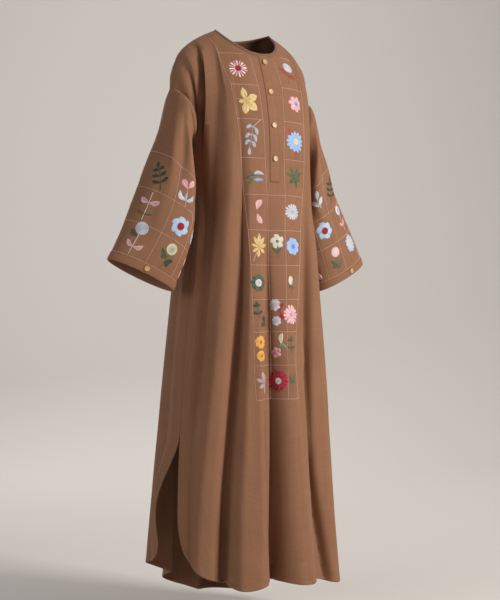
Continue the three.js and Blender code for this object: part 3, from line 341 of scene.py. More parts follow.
def armhole(side, ring):
    """The armhole, from its top at 0 over the front to the underarm at 180, then up the back."""
    in_front = ring <= 180
    at = side * mixed(74, 90, np.where(in_front, ring, 360 - ring) / 180)
    return np.where(in_front[..., None], top_edge(FRONT_TOP, at)[0], top_edge(BACK_TOP, at)[0])


def tube(side, along, ring):
    read = lambda name: column(SLEEVE, "at", name, along)
    flat3 = lambda x, z: np.stack([x, np.zeros(x.shape), z], -1)
    outer, inner = flat3(read("outer_x") + (read("further") if side > 0 else 0),
        read("outer_z")), flat3(read("inner_x"), read("inner_z"))
    inwards = (inner - outer) * 0.5
    width = np.linalg.norm(inwards, axis=-1)
    turn = np.radians(ring)
    grow = 1 + sum(sleeve_fold(fold, along, ring) for fold in SLEEVE_FOLDS) / read("deep")
    flat, deep = -np.cos(turn) * width * grow, np.sin(turn) * np.where(ring > 180, read("behind"), read("deep")) * grow
    twist = np.radians(read("twist"))
    found = (outer + inner) * 0.5 + unit(inwards) * (flat * np.cos(twist) + deep * np.sin(twist))[..., None]
    found[..., 1] = -flat * np.sin(twist) - deep * np.cos(twist) - read("ahead") * (1 if side < 0 else LEFT_SWING)
    if side > 0:
        held = 1 - eased(along, 0.4, 1)
        found = found + np.stack([-LEFT_SHOULDER["inwards"] * held, LEFT_SHOULDER["back"] * held, held * 0], -1)
    found[..., 0] *= side
    return found


def sleeve_points(side, along, ring):
    """Points of a sleeve: along runs from the armhole to the wrist, ring from its outer edge over the front."""
    along, ring = np.broadcast_arrays(np.asarray(along, float), np.asarray(ring, float))
    ring = ring % 360
    whole = tube(side, along, ring)
    leaving = armhole(side, ring) + whole - tube(side, along * 0, ring)
    return mixed(leaving, whole, eased(along, 0, 0.45)[..., None])



# ---------------------------------------------------------------- materials
def node_group(name, inputs, outputs):
    group = bpy.data.node_groups.new(name, "ShaderNodeTree")
    for label, kind, value in inputs:
        socket = group.interface.new_socket(label, in_out="INPUT", socket_type=kind)
        socket.default_value = value
    for label, kind in outputs:
        group.interface.new_socket(label, in_out="OUTPUT", socket_type=kind)
    return group, group.nodes.new("NodeGroupInput").outputs, group.nodes.new("NodeGroupOutput").inputs


class Wiring:
    """Short calls for the nodes of a tree."""

    def __init__(self, tree):
        self.tree = tree

    def put(self, socket, value):
        if isinstance(value, bpy.types.NodeSocket):
            self.tree.links.new(value, socket)
        else:
            socket.default_value = value

    def node(self, kind, **settings):
        node = self.tree.nodes.new(kind)
        for key, value in settings.items():
            setattr(node, key, value)
        return node

    def math(self, operation, a, b=0.0, c=0.0):
        node = self.node("ShaderNodeMath", operation=operation)
        for socket, value in zip(node.inputs, (a, b, c)):
            self.put(socket, value)
        return node.outputs[0]

    def mix(self, share, a, b):
        node = self.node("ShaderNodeMix", data_type="RGBA", clamp_factor=True)
        for socket, value in zip((node.inputs[0], node.inputs[6], node.inputs[7]), (share, a, b)):
            self.put(socket, value)
        return node.outputs[2]

    def noise(self, vector, scale, detail=3.0, roughness=0.55, stretch=(1, 1, 1)):
        mapping = self.node("ShaderNodeMapping")
        mapping.inputs["Scale"].default_value = stretch
        self.put(mapping.inputs["Vector"], vector)
        node = self.node("ShaderNodeTexNoise")
        self.put(node.inputs["Vector"], mapping.outputs[0])
        self.put(node.inputs["Scale"], scale)
        node.inputs["Detail"].default_value, node.inputs["Roughness"].default_value = detail, roughness
        return node.outputs["Fac"]

    def ramp(self, value, low, high, out_low=0.0, out_high=1.0):
        node = self.node("ShaderNodeMapRange", clamp=True)
        for socket, number in zip(node.inputs, (value, low, high, out_low, out_high)):
            self.put(socket, number)
        return node.outputs[0]


def plain_weave():
    """Woven cotton on a map in metres: crossing threads painted lighter on their crowns and darker in the gaps between
    them (painted light and shade), uneven slubs both ways, and soft clouds of tone.
    """
    group, given, out = node_group(
        "plain_weave",
        [("Map", "NodeSocketVector", (0, 0, 0)), ("Thread pitch", "NodeSocketFloat", 0.0007),
        ("Slub", "NodeSocketFloat", 0.5),
         ("Colour", "NodeSocketColor", (0.2, 0.1, 0.06, 1)), ("Light", "NodeSocketColor", (0.3, 0.16, 0.1, 1)),
         ("Dark", "NodeSocketColor", (0.1, 0.05, 0.03, 1))],
        [("Colour", "NodeSocketColor"), ("Roughness", "NodeSocketFloat"), ("Height", "NodeSocketFloat")],
    )
    w = Wiring(group)
    axes = w.node("ShaderNodeSeparateXYZ")
    w.put(axes.inputs[0], given["Map"])
    turns = w.math("DIVIDE", math.pi, given["Thread pitch"])
    warp = w.math("SINE", w.math("MULTIPLY", axes.outputs[0], turns))
    weft = w.math("SINE", w.math("MULTIPLY", axes.outputs[1], turns))
    over = w.math("MULTIPLY", warp, weft)
    threads = w.math("ADD", w.math("MULTIPLY", w.math("ABSOLUTE", warp), 0.5),
        w.math("MULTIPLY", w.math("ABSOLUTE", weft), 0.5))
    slub_down = w.noise(given["Map"], 260, 4, 0.6, (1, 0.035, 1))
    slub_across = w.noise(given["Map"], 260, 4, 0.6, (0.035, 1, 1))
    slubs = w.math("ADD", slub_down, slub_across)
    clouds = w.noise(given["Map"], 9, 4, 0.6)
    tone = w.math("ADD", w.math("MULTIPLY", w.math("SUBTRACT", slubs, 1.0), given["Slub"]),
        w.math("MULTIPLY", w.math("SUBTRACT", clouds, 0.5), 0.55))
    # painted light and shade: the threads' crowns are lighter and the gaps between them darker
    tone = w.math("ADD", tone, w.math("MULTIPLY", w.math("SUBTRACT", threads, 0.6), 0.16))
    lighter = w.mix(w.ramp(tone, 0.0, 0.55), given["Colour"], given["Light"])
    w.put(out["Colour"], w.mix(w.ramp(tone, 0.0, -0.55), lighter, given["Dark"]))
    w.put(out["Roughness"], w.ramp(slubs, 0.6, 1.4, 0.86, 0.74))
    w.put(out["Height"], w.math("ADD",
        w.math("ADD", w.math("MULTIPLY", over, 0.25), w.math("MULTIPLY", threads, 0.5)),
        w.math("MULTIPLY", slubs, 0.8)))
    return group


def thread_lay():
    """Laid embroidery threads: fine ridges along the second axis of a map, each a little lighter or darker, with
    painted shade in the grooves between them.
    """
    group, given, out = node_group(
        "laid_threads",
        [("Map", "NodeSocketVector", (0, 0, 0)), ("Pitch", "NodeSocketFloat", 0.0006),
        ("Colour", "NodeSocketColor", (0.8, 0.8, 0.8, 1))],
        [("Colour", "NodeSocketColor"), ("Roughness", "NodeSocketFloat"), ("Height", "NodeSocketFloat")],
    )
    w = Wiring(group)
    axes = w.node("ShaderNodeSeparateXYZ")
    w.put(axes.inputs[0], given["Map"])
    ridge = w.math("ABSOLUTE", w.math("SINE",
        w.math("MULTIPLY", axes.outputs[0], w.math("DIVIDE", math.pi, given["Pitch"]))))
    strand = w.noise(given["Map"], 900, 2, 0.5, (1, 0.06, 1))
    # painted shade: the colour drops to 0.62 in the grooves between the ridges; the strand noise adds random tone
    shade = w.math("MULTIPLY", w.ramp(ridge, 0.0, 0.7, 0.62, 1.0), w.ramp(strand, 0.3, 0.7, 0.88, 1.12))
    scaled = w.node("ShaderNodeVectorMath", operation="SCALE")
    w.put(scaled.inputs[0], given["Colour"])
    w.put(scaled.inputs["Scale"], shade)
    w.put(out["Colour"], scaled.outputs[0])
    w.put(out["Roughness"], w.ramp(ridge, 0.0, 1.0, 0.62, 0.4))
    w.put(out["Height"], w.math("ADD", ridge, w.math("MULTIPLY", strand, 0.3)))
    return group


def wood_grain():
    """Fine turned wood on object coordinates in metres: narrow bands of tone with short dark pores."""
    group, given, out = node_group(
        "wood_grain",
        [("Map", "NodeSocketVector", (0, 0, 0)), ("Light", "NodeSocketColor", (0.6, 0.4, 0.25, 1)),
        ("Dark", "NodeSocketColor", (0.3, 0.16, 0.08, 1))],
        [("Colour", "NodeSocketColor"), ("Roughness", "NodeSocketFloat"), ("Height", "NodeSocketFloat")],
    )
    w = Wiring(group)
    bands = w.noise(given["Map"], 420, 4, 0.6, (1, 1, 0.12))
    pores = w.noise(given["Map"], 2600, 2, 0.5, (1, 1, 0.08))
    tone = w.math("ADD", w.math("MULTIPLY", bands, 0.8), w.math("MULTIPLY", pores, 0.25))
    w.put(out["Colour"], w.mix(w.ramp(tone, 0.35, 0.7), given["Dark"], given["Light"]))
    w.put(out["Roughness"], w.ramp(pores, 0.3, 0.7, 0.5, 0.36))
    w.put(out["Height"], w.math("MULTIPLY", pores, 0.4))
    return group


WEAVE, LAID, GRAIN = plain_weave(), thread_lay(), wood_grain()


def surfaced(name, group, coordinates, values, shader, bump, distance):
    """A material whose colour, roughness and relief come from a group, with its plain values on the shader."""
    material = bpy.data.materials.new(name)
    material.use_nodes = True
    w = Wiring(material.node_tree)
    made = w.node("ShaderNodeGroup")
    made.node_tree = group
    if coordinates == "Object":
        source = w.node("ShaderNodeTexCoord").outputs["Object"]
    else:
        source = w.node("ShaderNodeUVMap", uv_map=coordinates).outputs[0]
    w.put(made.inputs["Map"], source)
    for key, value in values.items():
        if isinstance(value, str):
            value = w.node("ShaderNodeAttribute", attribute_name=value).outputs["Color"]
        w.put(made.inputs[key], value)
    principled = material.node_tree.nodes["Principled BSDF"]
    for key, value in shader.items():
        principled.inputs[key].default_value = value
    w.put(principled.inputs["Base Color"], made.outputs["Colour"])
    w.put(principled.inputs["Roughness"], made.outputs["Roughness"])
    relief = w.node("ShaderNodeBump")
    relief.inputs["Strength"].default_value, relief.inputs["Distance"].default_value = bump, distance
    w.put(relief.inputs["Height"], made.outputs["Height"])
    w.put(principled.inputs["Normal"], relief.outputs[0])
    return material


BROWN = {"Colour": (0.23, 0.107, 0.056, 1), "Light": (0.295, 0.145, 0.08, 1), "Dark": (0.165, 0.073, 0.037, 1)}
COTTON = surfaced("brown_cotton", WEAVE, "cloth", {"Thread pitch": 0.00062, "Slub": 0.5, **BROWN},
                  {"Sheen Weight": 0.1, "Sheen Roughness": 0.45, "Sheen Tint": (1, 0.8, 0.66, 1),
                  "Specular IOR Level": 0.26}, 0.35, 0.0004)
BINDING_COTTON = surfaced("binding_cotton", WEAVE, "cloth",
    {"Thread pitch": 0.00062, "Slub": 0.45, "Colour": (0.17, 0.083, 0.048, 1), "Light": (0.22, 0.11, 0.066, 1),
    "Dark": (0.12, 0.058, 0.034, 1)},
                          {"Sheen Weight": 0.2, "Sheen Roughness": 0.45, "Sheen Tint": (1, 0.86, 0.76, 1),
                          "Specular IOR Level": 0.28}, 0.35, 0.0004)
SILK = surfaced("embroidery_thread", LAID, "stitch", {"Pitch": 0.00065, "Colour": "thread"},
    {"Sheen Weight": 0.2, "Sheen Roughness": 0.3, "Specular IOR Level": 0.45}, 0.5, 0.0003)
GRID_THREAD = surfaced("grid_thread", LAID, "stitch", {"Pitch": 0.0005, "Colour": (0.66, 0.43, 0.36, 1)},
    {"Sheen Weight": 0.2, "Sheen Roughness": 0.35, "Specular IOR Level": 0.4}, 0.4, 0.0002)
SEAM_THREAD = surfaced("seam_thread", LAID, "stitch", {"Pitch": 0.0004, "Colour": (0.2, 0.105, 0.064, 1)},
    {"Sheen Weight": 0.15, "Specular IOR Level": 0.4}, 0.4, 0.0002)
BUTTON_THREAD = surfaced("button_thread", LAID, "stitch", {"Pitch": 0.0004, "Colour": (0.62, 0.46, 0.34, 1)},
    {"Sheen Weight": 0.15, "Specular IOR Level": 0.4}, 0.4, 0.0002)
WOOD = surfaced("button_wood", GRAIN, "Object", {"Light": (0.62, 0.38, 0.18, 1), "Dark": (0.4, 0.21, 0.085, 1)},
    {"Specular IOR Level": 0.5, "Coat Weight": 0.25, "Coat Roughness": 0.3}, 0.25, 0.0002)

# ---------------------------------------------------------------- making meshes
def finished(name, mesh, materials, body="root", replaces=()):
    """A piece at the origin with its materials, riding on the body."""
    piece = bpy.data.objects.new(name, mesh)
    bpy.context.collection.objects.link(piece)
    for material in materials:
        mesh.materials.append(material)
    for polygon in mesh.polygons:
        polygon.use_smooth = True
    if replaces:
        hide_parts(*replaces)
    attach(piece, body)
    return piece


def mesh_from(name, points, faces, uv=None):
    """A mesh in metres from points in millimetres, with a map in metres of cloth for its weave."""
    mesh = bpy.data.meshes.new(name)
    mesh.from_pydata((np.asarray(points) * MM).tolist(), [], np.asarray(faces).tolist())
    if uv is not None:
        layer = mesh.uv_layers.new(name="cloth")
        loops = np.zeros(len(mesh.loops), np.int32)
        mesh.loops.foreach_get("vertex_index", loops)
        layer.data.foreach_set("uv", (np.asarray(uv)[loops] * MM).astype(np.float32).ravel())
    mesh.validate()
    return mesh


def grid_faces(rows, cols, closed=False):
    r, c = np.meshgrid(np.arange(rows - 1), np.arange(cols if closed else cols - 1), indexing="ij")
    a, b = r * cols + c, r * cols + (c + 1) % cols
    return np.stack([a, a + cols, b + cols, b], -1).reshape(-1, 4)


def grid_normals(grid, closed=False):
    down = np.gradient(grid, axis=0)
    if closed:
        across = np.roll(grid, -1, 1) - np.roll(grid, 1, 1)
    else:
        across = np.gradient(grid, axis=1)
    return unit(np.cross(down, across))


def lengths(grid, axis):
    """How far each point of a grid lies along an axis, measured on the cloth."""
    steps = np.linalg.norm(np.diff(grid, axis=axis), axis=-1)
    start = np.zeros_like(np.take(steps, [0], axis=axis))
    return np.concatenate([start, np.cumsum(steps, axis=axis)], axis=axis)


def cloth_wall(name, grid, normals, thickness, outer=0.0, closed=False, middle=0):
    """A thin closed wall of cloth whose outer face is the grid moved out by outer, with its weave map."""
    rows, cols = grid.shape[:2]
    if closed:  # the seam column is doubled, so that the map doesn't fold back on itself
        grid, normals = [np.concatenate([a, a[:, :1]], 1) for a in (grid, normals)]
        cols += 1
    across = lengths(grid, 1)
    across = across - across[:, middle : middle + 1]
    uv = np.stack([across, -lengths(grid, 0)], -1).reshape(-1, 2)
    front = (grid + normals * outer).reshape(-1, 3)
    back = (grid + normals * (outer - thickness)).reshape(-1, 3)
    n = rows * cols
    faces = grid_faces(rows, cols)
    walls = []
    for line in ([r * cols for r in range(rows)],
        [r * cols + cols - 1 for r in range(rows)][::-1]) if not closed else ():
        walls += [(a, a + n, b + n, b) for a, b in zip(line, line[1:])]
    top, bottom = list(range(cols)), [n - cols + c for c in range(cols)]
    walls += [(b, b + n, a + n, a) for a, b in zip(top, top[1:])]
    walls += [(a, a + n, b + n, b) for a, b in zip(bottom, bottom[1:])]
    walls = [face[::-1] for face in walls]
    mesh = mesh_from(name, np.concatenate([front, back]),
        np.concatenate([faces, faces[:, ::-1] + n, np.array(walls)]), np.concatenate([uv, uv]))
    if closed:
        weld(mesh)
    mesh.set_sharp_from_angle(angle=math.radians(60))  # the cut edges are crisp, so a seam doesn't read as a bead
    return mesh


def weld(mesh, distance=1e-5):
    shape = bmesh.new()
    shape.from_mesh(mesh)
    bmesh.ops.remove_doubles(shape, verts=shape.verts, dist=distance)
    shape.to_mesh(mesh)
    shape.free()



# ---------------------------------------------------------------- creases in the cloth
# A soft trough (negative depth) or ridge from one place to another on a panel, bowed sideways by bow places.
Crease = namedtuple("Crease", "place down to_place to_down bow width depth")
FRONT_CREASES = [
    Crease(4.9, 0.03, 6.3, 0.62, 0.25, 9, 3.2),
    Crease(4.0, 0.1, 5.6, 0.7, 0.2, 8, -3.0),
    Crease(6.6, 0.08, 7.3, 0.75, -0.15, 13, 2.4),
    Crease(2.3, 0.3, 5.3, 0.95, 0.3, 12, -3.2),
    Crease(1.2, 0.45, 6.1, 1.1, 0.2, 14, 3.0),
    Crease(7.2, 0.35, 8.4, 1.12, 0.2, 16, -2.6),
    Crease(8.5, 0.3, 9.3, 1.2, 0.2, 15, 2.0),
    Crease(0.6, 1.0, 6.6, 1.24, -0.2, 12, -2.6),
    Crease(0.4, 1.08, 5.4, 1.32, 0.2, 14, 2.4),
    Crease(14.6, 0.12, 14.2, 0.85, 0.1, 14, -2.6),
    Crease(15.6, 0.1, 15.1, 0.8, 0.15, 11, 2.4),
    Crease(17.0, 0.1, 16.0, 0.8, 0.1, 9, -2.4),
    Crease(20.5, 0.4, 15.6, 1.06, -0.3, 12, 2.8),
    Crease(21.2, 0.62, 16.2, 1.2, -0.2, 13, -2.8),
    Crease(21.6, 1.02, 17.0, 1.3, 0.1, 14, 2.2),
    Crease(8.2, 1.25, 8.0, 2.1, 0.15, 18, 2.2),
    Crease(8.9, 1.5, 8.7, 2.5, -0.1, 15, -2.4),
    Crease(7.6, 1.6, 7.3, 2.7, 0.1, 17, -2.0),
    Crease(10.6, 1.2, 10.9, 2.0, 0.1, 13, 1.8),
    Crease(11.2, 1.7, 11.0, 2.8, -0.1, 14, 2.2),
    Crease(13.5, 1.3, 13.3, 2.4, 0.1, 16, 1.8),
    Crease(14.3, 1.5, 14.4, 2.6, 0.1, 14, -2.0),
    Crease(12.8, 2.0, 12.9, 2.9, 0.05, 15, -1.8),
    Crease(9.7, 2.05, 9.8, 2.9, -0.1, 13, 2.0),
    Crease(6.7, 1.9, 6.4, 2.8, 0.1, 13, 2.2),
    Crease(15.4, 1.2, 15.5, 2.3, -0.1, 14, 2.0),
    Crease(16.5, 1.5, 16.2, 2.8, 0.1, 12, -2.0),
    Crease(8.82, 1.15, 8.9, 2.98, 0.0, 10, -12.0),
    Crease(8.45, 1.25, 8.5, 2.98, 0.0, 12, 4.0),
    Crease(12.0, 1.3, 11.45, 2.35, 0.0, 9, -11.0),
    Crease(11.35, 1.8, 12.0, 2.99, 0.0, 10, -13.0),
    Crease(11.0, 1.5, 11.4, 2.98, 0.0, 12, 4.0),
    Crease(14.35, 1.1, 13.72, 2.4, 0.0, 13, -20.0),
    Crease(13.72, 1.75, 14.4, 2.99, 0.0, 14, -21.0),
    Crease(13.1, 1.3, 13.2, 2.98, 0.0, 13, 4.0),
    Crease(14.9, 1.4, 15.0, 2.98, 0.0, 8, -5.0),
    Crease(6.7, 1.2, 6.9, 2.98, 0.0, 8, -6.0),
]
BACK_CREASES = [
    Crease(4.9, 0.05, 6.2, 0.65, 0.2, 10, 3.0),
    Crease(4.0, 0.12, 5.8, 0.75, 0.2, 9, -3.0),
    Crease(1.5, 0.45, 6.5, 1.1, 0.3, 14, 3.0),
    Crease(0.7, 0.9, 7.0, 1.25, -0.2, 13, -2.8),
    Crease(14.9, 0.08, 14.3, 0.8, 0.15, 11, 2.6),
    Crease(16.4, 0.1, 15.6, 0.75, 0.1, 9, -2.6),
    Crease(20.0, 0.4, 15.2, 1.1, -0.3, 13, 3.0),
    Crease(20.8, 0.95, 15.6, 1.28, 0.2, 14, -2.6),
    Crease(9.0, 0.1, 9.1, 0.9, 0.05, 20, -2.0),
    Crease(11.2, 0.12, 11.1, 0.9, 0.05, 22, 1.8),
    Crease(8.1, 1.1, 8.0, 2.2, 0.1, 16, 2.2),
    Crease(9.6, 1.4, 9.8, 2.6, -0.1, 15, -2.4),
    Crease(10.7, 1.2, 10.6, 2.3, 0.1, 17, 2.0),
    Crease(12.3, 1.5, 12.2, 2.8, -0.1, 15, 2.2),
    Crease(13.4, 1.1, 13.5, 2.1, 0.1, 14, -2.2),
    Crease(7.3, 1.6, 7.1, 2.8, 0.1, 14, -2.2),
    Crease(14.5, 1.7, 14.4, 2.7, 0.1, 14, 2.0),
]
SLEEVE_CREASES = [  # here place is the ring in degrees, and down how far along the sleeve
    Crease(20, 0.02, 60, 0.55, 8, 9, 2.6),
    Crease(95, 0.03, 70, 0.6, -6, 10, -2.6),
    Crease(125, 0.1, 95, 0.72, 8, 12, 2.8),
    Crease(165, 0.08, 120, 0.6, 6, 12, -3.2),
    Crease(150, 0.35, 118, 0.92, 5, 13, 2.4),
    Crease(40, 0.3, 52, 0.9, -4, 13, -2.2),
    Crease(175, 0.5, 140, 0.9, 4, 10, 2.2),
    Crease(230, 0.08, 262, 0.7, 6, 13, -2.8),
    Crease(275, 0.05, 290, 0.66, 6, 11, 2.6),
    Crease(205, 0.25, 245, 0.85, 5, 12, 2.4),
    Crease(310, 0.1, 300, 0.8, -6, 13, -2.4),
    Crease(335, 0.3, 325, 0.95, 4, 12, 2.0),
]


def creased(grid, normals, creases, point_at):
    """The grid with its creases pressed in or raised along the normals."""
    moved = np.zeros(grid.shape[:2])
    for crease in creases:
        t = np.linspace(0, 1, 13)
        line = point_at(mixed(crease.place, crease.to_place, t) + crease.bow * np.sin(np.pi * t),
            mixed(crease.down, crease.to_down, t))
        reach = 3 * crease.width
        near = ((grid > line.min(0) - reach) & (grid < line.max(0) + reach)).all(-1)
        spots = grid[near]
        best, share = np.full(len(spots), np.inf), np.zeros(len(spots))
        for i in range(12):
            a, step = line[i], line[i + 1] - line[i]
            along = np.clip((spots - a) @ step / (step @ step), 0, 1)
            away = np.linalg.norm(spots - a - along[:, None] * step, axis=1)
            share = np.where(away < best, (i + along) / 12, share)
            best = np.minimum(best, away)
        fading = np.minimum(share, 0.5) if crease.to_down > 2.9 else share  # one that reaches the hem runs out over it
        moved[near] += crease.depth * np.exp(-((best / crease.width) ** 2)) * np.sin(np.pi * fading) ** 0.8
    return grid + normals * moved[..., None]


# ---------------------------------------------------------------- front and back
def columns_across(panel, spacing):
    """Places across a panel, about evenly spaced where the skirt is fullest."""
    places = [0.0]
    for i in range(panel.last):
        line = panel.points(np.linspace(i, i + 1, 9), np.full(9, 2.5))
        steps = max(2, math.ceil(np.linalg.norm(np.diff(line, axis=0), axis=1).sum() / spacing))
        at_armhole = min(abs(panel.folds[i].top), abs(panel.folds[i + 1].top)) >= 74
        steps = max(steps, 22) if at_armhole else steps
        places += [i + (k + 1) / steps for k in range(steps)]
    return np.array(places)


DOWN = np.concatenate([np.linspace(0, 1, 58), 1 + np.linspace(0, 1, 108)[1:], 2 + np.linspace(0, 1, 62)[1:]])


class Cloth:
    """A panel's finished surface: places, ways down, points and normals, which other pieces are laid on."""

    def __init__(self, panel, creases, flip):
        places = columns_across(panel, 5.8)
        self.places = places[::-1] if flip else places
        self.down = DOWN
        self.panel = panel
        self.flip = flip
        plain = panel.points(self.places[None], self.down[:, None])
        self.grid = creased(plain, grid_normals(plain), creases, lambda place, down: panel.points(place, down))
        self.normals = grid_normals(self.grid)

    def read(self, values, place, down):
        """Values of the grid at places and ways down, between its points."""
        order = self.places[::-1] if self.flip else self.places
        col = np.interp(place, order, np.arange(len(order)))
        if self.flip:
            col = len(order) - 1 - col
        row = np.interp(down, self.down, np.arange(len(self.down)))
        return bilinear(values, row, col)

    def at(self, place, down, out=0.0):
        normal = unit(self.read(self.normals, place, down))
        return self.read(self.grid, place, down) + normal * np.asarray(out, float)[..., None], normal


def bilinear(values, row, col, closed=False):
    rows, cols = values.shape[:2]
    r = np.clip(np.floor(row).astype(int), 0, rows - 2)
    c = np.floor(col).astype(int)
    c2 = (c + 1) % cols if closed else None
    if not closed:
        c = np.clip(c, 0, cols - 2)
        c2 = c + 1
    fr, fc = (row - r)[..., None], (col - c)[..., None]
    c, c2 = c % cols, c2 % cols
    return (values[r, c] * (1 - fc) + values[r, c2] * fc) * (1 - fr) + (values[r + 1, c] * (1 - fc)
        + values[r + 1, c2] * fc) * fr


class SleeveCloth:
    """A sleeve's finished surface, read by ring and by how far along it is."""

    def __init__(self, side):
        self.side = side
        rings = np.linspace(0, 360, 144, endpoint=False)
        self.rings = rings[::-1] if side > 0 else rings
        self.along = np.linspace(0, 1, 92)
        plain = sleeve_points(side, self.along[:, None], self.rings[None])
        swapped = [crease._replace(depth=crease.depth * (1 if side < 0 else 0.85),
            place=crease.place - 8 * (side > 0)) for crease in SLEEVE_CREASES]
        self.grid = creased(plain, grid_normals(plain, True), swapped, lambda ring,
            along: sleeve_points(side, along, ring))
        self.normals = grid_normals(self.grid, True)

    def read(self, values, ring, along):
        step = 360 / len(self.rings)
        col = np.mod(ring, 360) / step if self.side < 0 else np.mod(len(self.rings) - 1 - np.mod(ring, 360) / step,
            len(self.rings))
        row = np.asarray(along) * (len(self.along) - 1)
        return bilinear(values, row, col, closed=True)

    def at(self, ring, along, out=0.0):
        ring, along = np.broadcast_arrays(np.asarray(ring, float), np.asarray(along, float))
        normal = unit(self.read(self.normals, ring, along))
        return self.read(self.grid, ring, along) + normal * np.asarray(out, float)[..., None], normal


def swept(name, frame_at, section, closed_section=True, closed_path=True):
    """A strip of a cross-section swept along a path. frame_at(across) gives the path's points and normals there.

    section is a list of (across, out): how far across the strip in millimetres, and how far off the cloth."""
    lines = []
    for across, out in section:
        points, normals = frame_at(across)
        lines.append(points + normals * out)
    grid = np.stack(lines)  # section by path
    rows, cols = grid.shape[:2]
    step = lengths(grid, 1)
    down = np.concatenate([[0], np.cumsum(np.linalg.norm(np.diff(np.array(section), axis=0), axis=1))])
    uv = np.stack([step, np.broadcast_to(-down[:, None], step.shape)], -1)
    if closed_section:
        grid, uv = np.concatenate([grid, grid[:1]]), np.concatenate([uv, uv[:1]])
        rows += 1
    if closed_path:
        grid, uv = np.concatenate([grid, grid[:, :1]], 1), np.concatenate([uv, uv[:, :1]], 1)
        cols += 1
    mesh = mesh_from(name, grid.reshape(-1, 3), grid_faces(rows, cols), uv.reshape(-1, 2))
    weld(mesh)
    shape = bmesh.new()
    shape.from_mesh(mesh)
    if not closed_path:
        bmesh.ops.holes_fill(shape, edges=[edge for edge in shape.edges if edge.is_boundary], sides=0)
    bmesh.ops.recalc_face_normals(shape, faces=shape.faces)
    shape.to_mesh(mesh)
    shape.free()
    return mesh


# ---------------------------------------------------------------- the armholes
def soften_armhole(sleeve, panels, reach=10.0):
    """Rounds the fold where a sleeve is sewn to the body, on both sides of the seam, so that the cloth runs over it."""
    rings = np.arange(0, 360, 0.75)
    edge = sleeve.at(rings, 0 * rings)[0]
    onwards, beyond = sleeve.at(rings, 0 * rings + 0.035)
    tops = sleeve.side * mixed(74, 90, np.where(rings <= 180, rings, 360 - rings) / 180)
    before = np.zeros_like(edge)
    for panel, mine in zip(panels, (rings <= 180, rings > 180)):
        places = np.interp(tops, [row.top for row in panel.panel.folds], np.arange(panel.panel.last + 1))
        before[mine] = panel.at(places, 0 * rings + 0.05)[1][mine]
    meeting = unit(before + beyond)
    turn = np.arccos(np.clip((before * beyond).sum(-1), -1, 1))
    outward = np.sign(((beyond - before) * unit(onwards - edge)).sum(-1))
    slope = outward * np.tan(np.minimum(turn, 1.6) / 2)
    for _ in range(60):
        slope = (np.roll(slope, 3) + 2 * slope + np.roll(slope, -3)) / 4
        meeting = unit(np.roll(meeting, 3, 0) + 2 * meeting + np.roll(meeting, -3, 0))
    slope = np.clip(slope, -0.6, 0.9)
    for cloth in (sleeve, *panels):
        near = ((cloth.grid > edge.min(0) - 5 * reach) & (cloth.grid < edge.max(0) + 5 * reach)).all(-1)
        spots, own = cloth.grid[near], cloth.normals[near]
        nearest, away = np.zeros(len(spots), int), np.zeros(len(spots))
        for start in range(0, len(spots), 2000):
            gaps = np.linalg.norm(spots[start : start + 2000, None] - edge[None], axis=-1)
            nearest[start : start + 2000], away[start : start + 2000] = gaps.argmin(1), gaps.min(1)
        share = np.exp(-away / reach)[:, None]
        facing = unit(meeting[nearest] * share + own * (1 - share))
        cloth.grid[near] = spots - facing * slope[nearest, None] * reach * share
        cloth.normals = grid_normals(cloth.grid, cloth is sleeve)



# ---------------------------------------------------------------- the cloth pieces
front_cloth = Cloth(FRONT, FRONT_CREASES, flip=False)
back_cloth = Cloth(BACK, BACK_CREASES, flip=True)
right_sleeve, left_sleeve = SleeveCloth(-1), SleeveCloth(1)
for sleeve in (right_sleeve, left_sleeve):
    soften_armhole(sleeve, (front_cloth, back_cloth))
WRIST = 548  # the sleeve's length along its front, in millimetres
BAND_START = 1 - CUFF_BAND / WRIST


def seam_ditch(grid, normals, at_top, at_sides):
    """Edges that are sewn to another piece dip a little, so that a seam shows as a fine valley."""
    moved = np.zeros(grid.shape[:2])
    if at_top is not None:
        moved[0] -= 0.4 * at_top
    if at_sides is not None:
        moved[at_sides, 0] -= 0.7
        moved[at_sides, -1] -= 0.7
    return grid + normals * moved[..., None]


def panel_piece(cloth, node):
    sewn_above = np.abs(cloth.panel.top_place(cloth.places)) >= 30
    sides = cloth.down <= 2
    grid = seam_ditch(cloth.grid, cloth.normals, sewn_above, sides)
    middle = int(np.argmin(np.abs(cloth.panel.top_place(cloth.places))))
    mesh = cloth_wall(f"{node}_cloth", grid, cloth.normals, CLOTH, middle=middle)
    return finished(f"{node}_cloth", mesh, [COTTON], replaces=[node])


def sleeve_piece(cloth, side):
    rows = cloth.along <= BAND_START + 0.012
    grid = seam_ditch(cloth.grid[rows], cloth.normals[rows], 1.0, None)
    mesh = cloth_wall(f"sleeve_{side}_cloth", grid, cloth.normals[rows], CLOTH, closed=True)
    nodes = [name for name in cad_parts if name.startswith(f"sleeve_{side}")]
    return finished(f"sleeve_{side}_cloth", mesh, [COTTON], replaces=nodes)


def cuff_piece(cloth, side):
    """The turned-back band: a fold of cloth round the end of the sleeve, with a soft turned edge."""
    w = CUFF_BAND

    def frame_at(across):
        return cloth.at(cloth.rings, BAND_START + across / WRIST)

    section = [
        (0.6, 0.1), (-0.4, 0.5), (-0.7, 1.0), (-0.2, 1.5), (1.0, 1.75), (w * 0.3, 1.8), (w * 0.6, 1.9), (w - 3, 1.75),
        (w - 1.2, 1.4), (w - 0.2, 0.6), (w, -0.5), (w - 0.5, -1.6), (w - 1.6, -2.2), (w * 0.6, -2.0), (w * 0.2, -2.0),
        (-2, -1.8), (-3, -1.2),
    ]
    mesh = swept(f"cuff_band_{side}_cloth", frame_at, section)
    return finished(f"cuff_band_{side}_cloth", mesh, [COTTON], replaces=[f"cuff_band_{side}"])


